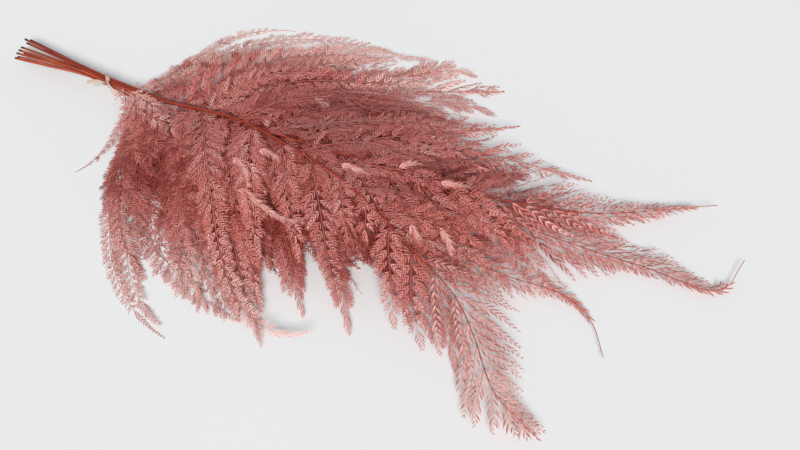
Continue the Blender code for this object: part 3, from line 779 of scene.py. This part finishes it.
def grow_tip(rng, layer, line, length, leaves):
    """Leaflets straight on the midrib between the last branches."""
    whip = FRONDS[layer].get("whip", 0.0)
    places = np.column_stack([line, rib_height(layer, line[:, 0], line[:, 1])])
    ahead, left, up = frames_along(places)
    for side in (-1, 1):
        s = length - 40.0 - whip
        rows = []
        while s < length - 1.0 - whip * 0.85:
            i = int(s / length * (len(line) - 1))
            rows.append((i, min(9.5, 3.0 + 0.16 * (length - s))))
            s += 5.4 * rng.uniform(0.9, 1.1)
        i, size = np.array(rows).T
        i = i.astype(int)
        angle = np.radians(TIP_ANGLE + rng.normal(0.0, 4.0, len(i)))
        go = turned(ahead[i], left[i] * side, angle)
        add_spindles(leaves[side], places[i], go, up[i], size, 0.34 + 0.045 * size,
                     np.full(len(i), -0.1 * side), rng.normal(0.05, 0.05, len(i)),
                     tint_at(rng, places[i], np.zeros(len(i)), 0.05))


def grow_loose(number):
    """A loose branch lying on top of the heap."""
    rng = random_for("loose", number)
    points, reach = lying(LOOSE_BRANCHES[number], TOP)
    points[:, 2] = points[:, 2] + 1.2 + 1.5 * np.sin(np.linspace(0.2, 3.0, len(points)))
    leaves = []
    roll = np.radians(np.linspace(30.0, -25.0, len(points)))
    style = {"closed": 1.05, "width": 0.85, "shoot": 14.0, "leaf": 8.0, "pale": 0.2, "sparse": 0.42,
             "tint": 0.10}
    if number >= LOOSE_PALE:
        style = {"closed": 0.9, "width": 0.7, "shoot": SHOOT_FROM, "leaf": 7.0, "pale": 0.3, "tint": 0.1}
    grow_branch(rng, points, reach * 1.02, roll, style, leaves)
    return leaves, (points, 0.4, 0.9)


# Branches with no frond of their own: the layer and side that they are counted to, and how they grow.
EXTRA_BRANCHES = ((TOP, -1, grow_loose, LOOSE_BRANCHES), (FRINGED, 1, grow_fringe, FRINGE))


# ---- modelling aids ----
def clear_selection():
    if bpy.context.object is not None and bpy.context.object.mode != "OBJECT":
        bpy.ops.object.mode_set(mode="OBJECT")
    bpy.ops.object.select_all(action="DESELECT")


def pick(kind, rule):
    """In edit mode, selects only the vertices, edges or faces whose middle passes the rule."""
    ob = bpy.context.object
    bpy.ops.mesh.select_all(action="DESELECT")
    bpy.ops.mesh.select_mode(type=kind)
    bm = bmesh.from_edit_mesh(ob.data)
    if kind == "VERT":
        for v in bm.verts:
            v.select = rule(v.co)
    elif kind == "EDGE":
        for e in bm.edges:
            e.select = rule((e.verts[0].co + e.verts[1].co) * 0.5, e.verts[1].co - e.verts[0].co)
    else:
        for f in bm.faces:
            f.select = rule(f.calc_center_median())
    bm.select_flush_mode()
    bmesh.update_edit_mesh(ob.data)


def taken_model():
    """Leaves edit mode and takes the active object's corners and triangles, then removes it."""
    bpy.ops.mesh.select_all(action="SELECT")
    bpy.ops.mesh.quads_convert_to_tris()
    bpy.ops.object.mode_set(mode="OBJECT")
    ob = bpy.context.object
    corners = np.array([v.co for v in ob.data.vertices])
    faces = np.array([p.vertices for p in ob.data.polygons])
    bpy.data.objects.remove(ob, do_unlink=True)
    return corners, faces


def begin_model(add, **form):
    """Adds a primitive, applies its place and scale, and goes into edit mode."""
    clear_selection()
    add(**form)
    bpy.ops.object.transform_apply(location=True, rotation=True, scale=True)
    bpy.ops.object.mode_set(mode="EDIT")


def cut_into_rings(cuts):
    """Cuts the edges that run along a straight model."""
    pick("EDGE", lambda middle, way: abs(way.z) > 0.5)
    bpy.ops.mesh.subdivide(number_cuts=cuts)


def move(rule, way):
    pick("VERT", rule)
    bpy.ops.transform.translate(value=way)


def scale(rule, factors):
    pick("VERT", rule)
    bpy.ops.transform.resize(value=factors)


def leaflet_model():
    """One leaflet standing on its foot: Z is its length, X its half width, Y its keel."""
    begin_model(bpy.ops.mesh.primitive_cylinder_add, vertices=3, radius=1.0, depth=0.4,
                end_fill_type="TRIFAN", location=(0.0, 0.0, 0.44))
    move(lambda co: co.z < 0.4 and co.xy.length < 0.1, (0.0, -0.1, -0.24))
    move(lambda co: co.z > 0.5 and co.xy.length < 0.1, (0.0, -0.1, 0.36))
    scale(lambda co: co.z < 0.3 and co.xy.length > 0.5, (1.15, 0.5, 1.0))
    scale(lambda co: 0.5 < co.z < 0.9 and co.xy.length > 0.5, (0.95, 0.4, 1.0))
    return taken_model()


def rib_model():
    """A straight rib of a side branch: five flats, many rings, drawn to a point by its radii."""
    begin_model(bpy.ops.mesh.primitive_cylinder_add, vertices=5, radius=1.0, depth=1.0,
                location=(0.0, 0.0, 0.5))
    cut_into_rings(23)
    return taken_model()


def stalk_model():
    """A straight stalk: ten flats with a groove down one side and a pit in the cut end."""
    begin_model(bpy.ops.mesh.primitive_cylinder_add, vertices=10, radius=1.0, depth=1.0,
                location=(0.0, 0.0, 0.5))
    cut_into_rings(159)
    move(lambda co: co.y > 0.95, (0.0, -0.3, 0.0))
    pick("FACE", lambda co: co.z < 0.0005)
    bpy.ops.mesh.inset(thickness=0.22)
    bpy.ops.transform.translate(value=(0.0, 0.0, 0.0012))
    return taken_model()


def ribbon_model():
    """A straight paper ribbon with the wire's ridge down its middle and rounded ends."""
    begin_model(bpy.ops.mesh.primitive_cube_add, size=1.0, location=(0.0, 0.0, 0.5), scale=(2.0, 1.1, 1.0))
    cut_into_rings(199)
    pick("EDGE", lambda middle, way: abs(way.x) > 0.5)
    bpy.ops.mesh.subdivide(number_cuts=7)
    scale(lambda co: abs(co.x) < 0.1, (1.0, 2.1, 1.0))
    scale(lambda co: 0.1 < abs(co.x) < 0.3, (0.8, 1.35, 1.0))
    for low, high, narrow in ((-0.001, 0.001, 0.35), (0.004, 0.006, 0.78), (0.009, 0.011, 0.95)):
        for end in (0.0, 1.0):
            scale(lambda co: low < abs(co.z - end) < high, (narrow, 1.0, 1.0))
    return taken_model()


def laid(corners, points, across, outward, wide, thick):
    """Corners of a straight model laid along a line: its Z runs along, X goes across and Y outward."""
    share = np.clip(corners[:, 2], 0.0, 1.0)
    sizes = wide[:, None], thick[:, None]
    middle, across, outward, wide, thick = part_way(share, points, across, outward, *sizes)
    return middle + across * wide * corners[:, :1] + outward * thick * corners[:, 1:2]


def spindles(model, block):
    """All corners of many leaflets, each bent along its own short curve."""
    base, ahead, up, length, half_wide, bend, sag, _ = block
    side = unit(np.cross(ahead, up)) * -1.0
    up = np.cross(ahead, side)
    up *= np.sign((up * block[2]).sum(1))[:, None]
    x, y, t = model.T
    long = length[:, None, None]
    along = ahead[:, None] * long * t[None, :, None]
    across = side[:, None] * (half_wide[:, None] * x + (bend * length)[:, None] * t**2)[:, :, None]
    keel = (0.30 * half_wide)[:, None] * y - (sag * length)[:, None] * t**2
    return (base[:, None] + along + across + up[:, None] * keel[:, :, None]).reshape(-1, 3)


def settled(corners):
    """Millimetres to metres in the frame, with nothing below the table top."""
    placed = corners - np.array(ORIGIN)
    low = placed[:, 2] < 0.8
    placed[low, 2] = 0.3 + 0.5 * np.exp((placed[low, 2] - 0.8) / 0.8)
    return placed * MM


def new_piece(name, corners, faces, uv, material, smooth_faces, replaces):
    """A finished piece with its own UV map, put in its place and riding on the bunch's one body."""
    corners = settled(corners)
    mesh = bpy.data.meshes.new(name)
    mesh.vertices.add(len(corners))
    mesh.vertices.foreach_set("co", corners.astype(np.float32).ravel())
    mesh.loops.add(faces.size)
    mesh.loops.foreach_set("vertex_index", faces.astype(np.int32).ravel())
    mesh.polygons.add(len(faces))
    mesh.polygons.foreach_set("loop_start", np.arange(0, faces.size, 3, dtype=np.int32))
    mesh.polygons.foreach_set("use_smooth", np.full(len(faces), smooth_faces))
    layer = mesh.uv_layers.new(name=MAP_NAME)
    layer.uv.foreach_set("vector", uv[faces.ravel()].astype(np.float32).ravel())
    mesh.materials.append(material)
    mesh.update(calc_edges=True)
    mesh.validate()
    piece = bpy.data.objects.new(name, mesh)
    bpy.context.scene.collection.objects.link(piece)
    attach(piece, BODY)
    if replaces:
        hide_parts(*replaces)
    return piece


def copies(faces, corners_each, count):
    """Faces of count copies of a model."""
    return (faces[None] + np.arange(count)[:, None, None] * corners_each).reshape(-1, 3)


def leaflet_piece(name, blocks, model, material, replaces):
    """Joins blocks of leaflets into one piece. The map's U is a leaflet's tint and V runs along it."""
    corners, faces = model
    placed = np.concatenate([spindles(corners, block) for block in blocks])
    tint = np.concatenate([block[7] for block in blocks])
    count = len(tint)
    u = tint[:, None] + corners[:, 0] * 0.006
    v = np.broadcast_to(0.03 + 0.94 * corners[:, 2], u.shape)
    uv = np.stack([np.clip(u, 0.0, 1.0), v], 2).reshape(-1, 2)
    outward = facing(corners, faces)
    return new_piece(name, placed, copies(outward, len(corners), count), uv, material,
                     False, replaces)


def facing(corners, faces):
    """A model's faces, turned so that they point outwards."""
    middle = corners.mean(0)
    a, b, c = corners[faces[:, 0]], corners[faces[:, 1]], corners[faces[:, 2]]
    outward = np.einsum("ij,ij->i", np.cross(b - a, c - a), (a + b + c) / 3.0 - middle)
    faces = faces.copy()
    faces[outward < 0.0] = faces[outward < 0.0][:, ::-1]
    return faces


# ---- materials ----
BLACK = (0.0, 0.0, 0.0)
WHITE = (1.0, 1.0, 1.0)


def new_material(name):
    material = bpy.data.materials.new(name)
    material.use_nodes = True
    tree = material.node_tree
    return material, tree, tree.nodes["Principled BSDF"].inputs


def set_inputs(tree, inputs, values):
    """Sets inputs by their names or numbers. A value may be another node's output."""
    for name, value in values.items():
        if isinstance(value, bpy.types.NodeSocket):
            tree.links.new(value, inputs[name])
        else:
            inputs[name].default_value = value


def new_node(tree, kind, values):
    """Outputs of a new node with its inputs set."""
    node = tree.nodes.new("ShaderNode" + kind)
    set_inputs(tree, node.inputs, values)
    return node.outputs


def own_map(tree):
    """The piece's own map, and its U and V."""
    source = tree.nodes.new("ShaderNodeUVMap")
    source.uv_map = MAP_NAME
    split = new_node(tree, "SeparateXYZ", {"Vector": source.outputs["UV"]})
    return source.outputs["UV"], split["X"], split["Y"]


def ramp(tree, value, *stops):
    """A colour ramp over a value."""
    node = tree.nodes.new("ShaderNodeValToRGB")
    elements = node.color_ramp.elements
    while len(elements) < len(stops):
        elements.new(0.5)
    for element, (place, colour) in zip(elements, stops):
        element.position = place
        element.color = (*colour[:3], 1.0)
    tree.links.new(value, node.inputs["Fac"])
    return node.outputs["Color"]


def mixed(tree, factor, first, second, blend="MIX"):
    """A colour mix. The factor and the colours may be values or other nodes' outputs."""
    node = tree.nodes.new("ShaderNodeMix")
    node.data_type = "RGBA"
    node.blend_type = blend
    set_inputs(tree, node.inputs, {"Factor": factor, 6: first, 7: second})
    return node.outputs[2]


def mapped(tree, value, low, high):
    """Brings a value between 0 and 1 to another range."""
    return new_node(tree, "MapRange", {"Value": value, "To Min": low, "To Max": high})["Result"]


def stretched_noise(tree, place, factors, size, detail):
    """Noise over a place, finer along an axis the larger its factor is."""
    stretched = new_node(tree, "Mapping", {"Vector": place, "Scale": factors})["Vector"]
    return new_node(tree, "TexNoise", {"Vector": stretched, "Scale": size, "Detail": detail})["Fac"]


def bumps(tree, height, strength, distance):
    """A surface that is raised where a value is high, by light and shade only."""
    return new_node(tree, "Bump", {"Height": height, "Strength": strength, "Distance": distance})["Normal"]


def shade(colour, factor):
    return tuple(c * factor for c in colour[:3])


def leaflet_material(settings):
    """Dyed dried leaf: tint by leaflet, with painted shade at the foot and towards the tip of each leaflet,
    and a soft matt sheen.
    """
    material, tree, inputs = new_material("dyed_leaflet")
    _, u, v = own_map(tree)
    pale = tuple(settings.underside_colour)
    tinted = ramp(tree, u, (0.04, settings.leaflet_dark), (0.18, settings.leaflet_colour),
                  (0.32, settings.leaflet_light), (0.46, settings.leaflet_washed),
                  (0.52, shade(pale, 0.82)), (0.72, pale), (0.97, shade(pale, 1.12)))
    # painted shade: each leaflet is drawn darker at its foot, where it meets its rib, and a little darker at
    # its tip
    along = ramp(tree, v, (0.0, (0.66, 0.50, 0.50)), (0.35, WHITE), (1.0, (0.92, 0.80, 0.79)))
    # lighter leaflets are drawn pale at the foot and darker towards the tip, a painted shade on the tips
    pale_foot_shaded_tip = ramp(tree, v, (0.0, (1.3, 2.1, 2.1)), (0.3, (1.0, 1.05, 1.05)),
                      (0.55, (0.72, 0.55, 0.55)), (1.0, (0.52, 0.38, 0.38)))
    along = mixed(tree, ramp(tree, u, (0.19, BLACK), (0.27, WHITE)), along, pale_foot_shaded_tip)
    # the most washed ones are even
    faint = ramp(tree, u, (0.34, BLACK), (0.44, (0.85, 0.85, 0.85)))
    along = mixed(tree, faint, along, (1.0, 0.98, 0.98, 1.0))
    colour = mixed(tree, 1.0, tinted, along, "MULTIPLY")
    set_inputs(tree, inputs, {"Base Color": colour, "Roughness": mapped(tree, v, 0.62, 0.85),
                              "Sheen Weight": 0.04, "Specular IOR Level": 0.25})
    return material


def rib_material(settings):
    """Side ribs: brick red at the root, towards the leaf's rose at the tip."""
    material, tree, inputs = new_material("side_rib")
    _, u, v = own_map(tree)
    red = tuple(settings.stalk_colour)
    rose = tuple(settings.leaflet_colour)
    middle = tuple(0.35 * a + 0.65 * b for a, b in zip(red, rose))
    along = ramp(tree, v, (0.0, red), (0.15, middle), (0.6, rose))
    light = ramp(tree, u, (0.0, (0.7, 0.7, 0.7)), (1.0, (1.15, 1.1, 1.1)))
    colour = mixed(tree, 1.0, along, light, "MULTIPLY")
    set_inputs(tree, inputs, {"Base Color": colour, "Roughness": 0.5})
    return material


def stalk_material(settings):
    """Glossy brick-red stalk with long streaks, a painted orange highlight on its ridges and on the near
    stalks, and a dark dry cut end.
    """
    material, tree, inputs = new_material("dyed_stalk")
    place, u, v = own_map(tree)
    red = tuple(settings.stalk_colour)
    orange = (red[0] * 1.5, red[1] * 1.9, red[2] * 1.6)
    streaks = stretched_noise(tree, place, (14.0, 26.0, 1.0), 1.0, 4.0)
    # darker in the low streaks and orange on the raised ones: partly the stalk's own streaking, partly
    # painted highlight on the ridges and painted shade in the grooves
    body = ramp(tree, streaks, (0.30, shade(red, 0.55)), (0.52, red), (0.72, orange))
    end = ramp(tree, v, (0.0, (0.12, 0.10, 0.10)), (0.002, (0.35, 0.30, 0.30)), (0.006, WHITE),
               (0.91, WHITE), (0.96, (1.5, 4.0, 6.0)))
    # painted highlight: up to the tie, the near group of stalks is drawn brighter and more orange and the far
    # group darker
    glow = ramp(tree, u, (0.49, (0.80, 0.75, 0.75)), (0.51, (1.0, 1.15, 1.05)))
    glow = mixed(tree, ramp(tree, v, (0.12, BLACK), (0.30, WHITE)), glow, (1.0, 0.8, 0.8, 1.0))
    glowing = mixed(tree, 1.0, body, glow, "MULTIPLY")
    set_inputs(tree, inputs, {"Base Color": mixed(tree, 1.0, glowing, end, "MULTIPLY"),
                              "Roughness": mapped(tree, streaks, 0.22, 0.48),
                              "Normal": bumps(tree, streaks, 0.35, 0.0002), "Specular IOR Level": 0.4})
    return material


def paper_material(settings):
    """Uncoated paper of the tie: pale, fibrous, with faint creases across it, drawn darker in their hollows
    as painted shade and lighter on their ridges as painted highlight.
    """
    material, tree, inputs = new_material("tie_paper")
    place, _, _ = own_map(tree)
    paper = tuple(settings.paper_colour)
    creases = stretched_noise(tree, place, (3.0, 60.0, 1.0), 2.0, 6.0)
    # painted shade in the hollows of the creases and painted highlight on their ridges
    colour = ramp(tree, creases, (0.3, shade(paper, 0.72)), (0.5, paper), (0.75, shade(paper, 1.15)))
    set_inputs(tree, inputs, {"Base Color": colour, "Roughness": 0.75,
                              "Normal": bumps(tree, creases, 0.5, 0.00025)})
    return material


def table_material(settings):
    """Plain pale table top with the faintest mottling."""
    material, tree, inputs = new_material("pale_table")
    place = tree.nodes.new("ShaderNodeTexCoord").outputs["Object"]
    cloud = stretched_noise(tree, place, (1.0, 1.0, 1.0), 1.5, 2.0)
    white = tuple(settings.table_colour)
    colour = ramp(tree, cloud, (0.3, shade(white, 0.98)), (0.7, white))
    set_inputs(tree, inputs, {"Base Color": colour, "Roughness": 0.6})
    return material


# ---- the tie's line ----
def tie_stations():
    """Middle points, face-out directions and half sizes of the ribbon from one end to the other."""
    ahead, near = tie_ways()
    centre = np.array([*TIE_PLACE, TIE_HEIGHT])
    up = np.array([0.0, 0.0, 1.0])
    wide = 2.0 * STALK_PITCH + STALK_RADIUS * 0.5 + RIBBON_CLEAR + RIBBON_HALF_THICK
    tall = STALK_ROW + STALK_RADIUS + 0.35 + RIBBON_CLEAR + RIBBON_HALF_THICK

    def ring(degrees):
        """A point of the ring round the stalks, and the way out there."""
        c, s = math.cos(math.radians(degrees)), math.sin(math.radians(degrees))
        around = near * c * wide + up * s * tall + ahead * (RING_AHEAD + RING_LEAN * c)
        return centre + around, near * c / wide + up * s / tall

    knot, out = ring(KNOT_TURN)
    out = out / np.linalg.norm(out)
    over = np.cross(out, ahead)
    knot_in = knot + out * 1.7
    knot_out = knot + out * 4.2
    flat = (RIBBON_HALF_WIDTH, RIBBON_HALF_THICK)
    rolled = (RIBBON_TWISTED, RIBBON_HALF_THICK * 0.95)
    narrow = (RIBBON_TWISTED * 1.3, RIBBON_HALF_THICK)
    stations = []

    def add(point, outward, size):
        stations.append((np.array(point), np.array(outward), size))

    def add_twist(t, start):
        """One station of the twisted part, share t of the way in from its outer end."""
        around = math.radians(start - 180.0 * t)
        radial = over * math.sin(around) + ahead * -math.cos(around)
        add(knot_out + (knot_in - knot_out) * t + radial * 0.95, radial, rolled)

    first_end = centre + near * 12.6 - ahead * 10.6 + up * 1.6
    for t in (0.0, 0.35, 0.68, 0.9):
        start = knot_out - over * 1.0 - ahead * 1.8 + out * 0.6
        swell = up * 1.2 * math.sin(math.pi * t)
        size = flat if t < 0.8 else narrow
        add(first_end + (start - first_end) * t + swell, up + near * (0.8 - 0.3 * t), size)
    for k in range(TWIST_STEPS + 1):
        add_twist(k / TWIST_STEPS, 270.0)
    for k in range(RING_STEPS + 1):
        add(*ring(KNOT_TURN + KNOT_OPENING + (360.0 - 2.0 * KNOT_OPENING) * (k / RING_STEPS)), flat)
    for k in range(TWIST_STEPS + 1):
        add_twist(1.0 - k / TWIST_STEPS, 90.0)
    second_end = centre + near * 8.6 + ahead * 18.8 - up * 4.0
    start = knot_out + over * 0.6 + ahead * 2.4 + out * 0.3
    for t in (0.0, 0.4, 1.0):
        size = flat if t > 0.3 else narrow
        outward = up * -0.5 - near * (0.2 + 0.2 * t) + ahead * 0.5 * (1.0 - t)
        add(start + (second_end - start) * t, outward, size)
    return stations


def stalk_line(layer):
    """A stalk and its midrib from cut end to tip: points and radii."""
    fern = FRONDS[layer]
    line, length = frond_line(layer)
    slot = tie_slot(*fern["slot"])
    cut = np.array(fern["cut"], float)
    ahead, _ = tie_ways()
    points = [cut + (slot - ahead * BUNDLED - cut) * t for t in (0.0, 0.3, 0.6, 0.88)]
    points += [slot - ahead * (BUNDLED - 5.0), slot - ahead * 4.0, slot + ahead * 4.0]
    for s in np.linspace(9.0, length, int(length / 14.0)):
        place, _ = at(line, length, s)
        points.append(np.array([place[0], place[1], float(rib_height(layer, *place))]))
    points, _ = through(points, count=260)
    share = np.clip((points[:, 0] - cut[0]) / (length + CUT_LENGTH), 0.0, 1.0)
    thin = WHIP_RADIUS if fern.get("whip") else TIP_RADIUS
    radii = STALK_RADIUS + (thin - STALK_RADIUS) * np.minimum(share * 1.12, 1.0) ** 1.15
    return points, radii


# ---- settings, operators and panel ----
COLOUR = {"subtype": "COLOR", "size": 3, "min": 0.0, "max": 1.0}


class FernBunchSettings(bpy.types.PropertyGroup):
    """Colours and sizes of the bunch."""

    leaflet_colour: FloatVectorProperty(name="Leaflet", description="Dyed leaf on its upper side",
                                        default=(0.60, 0.19, 0.165), **COLOUR)
    # the darkest leaflet colour is used mostly by the painted shade deep in the heap and on the shoot ribs
    leaflet_dark: FloatVectorProperty(name="Dark leaflet", description="Darkest of the leaflets",
                                      default=(0.30, 0.045, 0.035), **COLOUR)
    leaflet_light: FloatVectorProperty(name="Light leaflet", description="Lighter leaflets",
                                       default=(0.68, 0.31, 0.275), **COLOUR)
    leaflet_washed: FloatVectorProperty(name="Washed leaflet", description="Leaflets that took least dye",
                                        default=(0.79, 0.48, 0.43), **COLOUR)
    underside_colour: FloatVectorProperty(name="Underside", description="Pale underside of the leaf",
                                          default=(0.70, 0.40, 0.35), **COLOUR)
    stalk_colour: FloatVectorProperty(name="Stalk", description="Brick red of the stalks",
                                      default=(0.36, 0.05, 0.024), **COLOUR)
    paper_colour: FloatVectorProperty(name="Tie paper", description="Paper of the twist tie",
                                      default=(0.62, 0.44, 0.36), **COLOUR)
    table_colour: FloatVectorProperty(name="Table", description="Table top under the bunch",
                                      default=(0.83, 0.84, 0.85), **COLOUR)
    camera_distance: FloatProperty(name="Camera distance", description="From the camera to the table",
                                   default=0.98, unit="LENGTH")
    camera_height: FloatProperty(name="Camera elevation", description="Angle of the camera above the table",
                                 default=math.radians(50.0), subtype="ANGLE")
    camera_turn: FloatProperty(name="Camera azimuth", description="Way round the bunch to the camera",
                               default=math.radians(23.0), subtype="ANGLE")


class FERN_OT_stalks(bpy.types.Operator):
    """Models one grooved stalk and lays a copy along each stalk and midrib"""

    bl_idname = "fern.stalks"
    bl_label = "Stalks"

    def execute(self, context):
        material = stalk_material(context.scene.fern_bunch)
        corners, faces = stalk_model()
        for layer in range(len(FRONDS)):
            rng = random_for("stalk", layer)
            points, radii = stalk_line(layer)
            _, left, up = frames_along(points, np.radians(rng.uniform(-50.0, 50.0)))
            run = np.linspace(0.0, 1.0, len(points))
            radii = radii * (1.0 + 0.04 * np.sin(run * 40.0 + layer) * np.sin(run * 13.0))
            placed = laid(corners, points, -left, up, radii, radii)
            around = (np.arctan2(corners[:, 0], corners[:, 1]) / math.tau) % 1.0
            # the near group's half of the map carries the painted highlight
            glow = 0.0 if FRONDS[layer]["cut"][1] > GLOW_WITHIN else 0.5
            uv = np.stack([glow + 0.02 + 0.46 * around, np.clip(corners[:, 2], 0.0, 1.0)], 1)
            number = f"{layer + 1:02d}"
            new_piece("stalk_" + number, placed, faces, uv, material,
                      True, ["stem_" + number])
        return {"FINISHED"}


class FERN_OT_fronds(bpy.types.Operator):
    """Grows each frond: ribs of its side branches, and leaflets of its near and its far side"""

    bl_idname = "fern.fronds"
    bl_label = "Fronds"

    def execute(self, context):
        settings = context.scene.fern_bunch
        leaf = leaflet_material(settings)
        rib = rib_material(settings)
        model = leaflet_model()
        rib_corners, rib_faces = rib_model()
        for layer in range(len(FRONDS)):
            number = f"{layer + 1:02d}"
            leaves, ribs = grow_frond(layer)
            for extra_layer, extra_side, grow, table in EXTRA_BRANCHES:
                for k in range(len(table) if layer == extra_layer else 0):
                    extra_leaves, extra_rib = grow(k)
                    leaves[extra_side] += extra_leaves
                    ribs.append(extra_rib)
            for side, name in ((-1, "near"), (1, "far")):
                leaflet_piece(f"frond_{number}_{name}_leaflets", leaves[side], model, leaf,
                              ["frond_" + number])
            self.rib_piece(f"frond_{number}_ribs", ribs, rib_corners, rib_faces, rib)
        return {"FINISHED"}

    def rib_piece(self, name, ribs, corners, faces, material):
        placed = []
        uv = []
        for points, root, tint in ribs:
            _, left, up = frames_along(points)
            radii = root * (1.0 - 0.72 * np.linspace(0.0, 1.0, len(points)))
            placed.append(laid(corners, points, -left, up, radii, radii))
            uv.append(np.stack([tint + corners[:, 0] * 0.01, 0.02 + 0.96 * corners[:, 2]], 1))
        joined = copies(faces, len(corners), len(ribs))
        new_piece(name, np.concatenate(placed), joined, np.concatenate(uv), material,
                  True, [])


class FERN_OT_twist_tie(bpy.types.Operator):
    """Models a straight paper ribbon with its wire's ridge and winds it round the stalks"""

    bl_idname = "fern.twist_tie"
    bl_label = "Twist Tie"

    def execute(self, context):
        corners, faces = ribbon_model()
        stations = tie_stations()
        table = [(*point, *(outward / np.linalg.norm(outward)), *size) for point, outward, size in stations]
        fine, _ = through(table, count=420)
        points, outward = fine[:, :3], fine[:, 3:6]
        ahead = unit(np.gradient(points, axis=0))
        outward = unit(outward - ahead * (outward * ahead).sum(1)[:, None])
        across = np.cross(ahead, outward)
        placed = laid(corners, points, across, outward, fine[:, 6], fine[:, 7] * 0.55)
        uv = np.stack([0.5 + 0.48 * corners[:, 0], np.clip(corners[:, 2], 0.0, 1.0)], 1)
        uv[:, 0] = np.where(corners[:, 1] > 0.0, 0.5 * uv[:, 0], 0.5 + 0.5 * uv[:, 0])
        new_piece("twist_tie_ribbon", placed, faces, uv, paper_material(context.scene.fern_bunch),
                  True, ["twist_tie"])
        return {"FINISHED"}


class FERN_OT_stage(bpy.types.Operator):
    """Sets the table top, the soft lights and the camera"""

    bl_idname = "fern.stage"
    bl_label = "Stage"

    def execute(self, context):
        settings = context.scene.fern_bunch
        clear_selection()
        bpy.ops.mesh.primitive_plane_add(size=8.0, location=(0.0, 0.0, 0.0))
        table = context.object
        table.name = "table_top"
        table.data.materials.append(table_material(settings))
        data = bpy.data.lights.new("key_light", "SUN")
        data.angle = math.radians(SUN_SIZE)
        data.energy = SUN_STRENGTH
        data.color = SUN_COLOUR
        lamp = bpy.data.objects.new("key_light", data)
        lamp.location = (0.0, -1.0, 1.0)
        lamp.rotation_euler = (math.radians(90.0 - SUN_HEIGHT), 0.0, math.radians(SUN_TURN))
        context.scene.collection.objects.link(lamp)
        world = bpy.data.worlds.new("soft_room")
        world.use_nodes = True
        sky = world.node_tree.nodes["Background"]
        sky.inputs["Color"].default_value = SKY_COLOUR
        sky.inputs["Strength"].default_value = SKY_STRENGTH
        context.scene.world = world
        context.scene.view_settings.view_transform = "Standard"
        data = bpy.data.cameras.new("camera")
        data.lens = CAMERA_LENS
        data.sensor_width = SENSOR_WIDTH
        camera = bpy.data.objects.new("camera", data)
        level = math.cos(settings.camera_height)
        away = np.array([math.sin(settings.camera_turn) * level, -math.cos(settings.camera_turn) * level,
                         math.sin(settings.camera_height)])
        camera.location = np.array(CAMERA_TARGET) + away * settings.camera_distance
        camera.rotation_euler = (math.pi / 2.0 - settings.camera_height, 0.0, settings.camera_turn)
        context.scene.collection.objects.link(camera)
        context.scene.camera = camera
        return {"FINISHED"}


class FERN_PT_bunch(bpy.types.Panel):
    """Fern bunch pieces, in the order in which they are made"""

    bl_idname = "FERN_PT_bunch"
    bl_label = "Fern Bunch"
    bl_space_type = "VIEW_3D"
    bl_region_type = "UI"
    bl_category = "Fern Bunch"

    def draw(self, context):
        settings = context.scene.fern_bunch
        for name in settings.bl_rna.properties.keys():
            if name not in ("rna_type", "name"):
                self.layout.prop(settings, name)
        for operator in OPERATORS:
            self.layout.operator(operator.bl_idname)


OPERATORS = (FERN_OT_stage, FERN_OT_stalks, FERN_OT_fronds, FERN_OT_twist_tie)
CLASSES = (FernBunchSettings, *OPERATORS, FERN_PT_bunch)


def register():
    for one in CLASSES:
        bpy.utils.register_class(one)
    bpy.types.Scene.fern_bunch = PointerProperty(type=FernBunchSettings)


def unregister():
    del bpy.types.Scene.fern_bunch
    for one in reversed(CLASSES):
        bpy.utils.unregister_class(one)


def main():
    register()
    bpy.ops.fern.stage()
    bpy.ops.fern.stalks()
    bpy.ops.fern.fronds()
    bpy.ops.fern.twist_tie()
    bpy.context.view_layer.update()


if __name__ == "__main__":
    main()
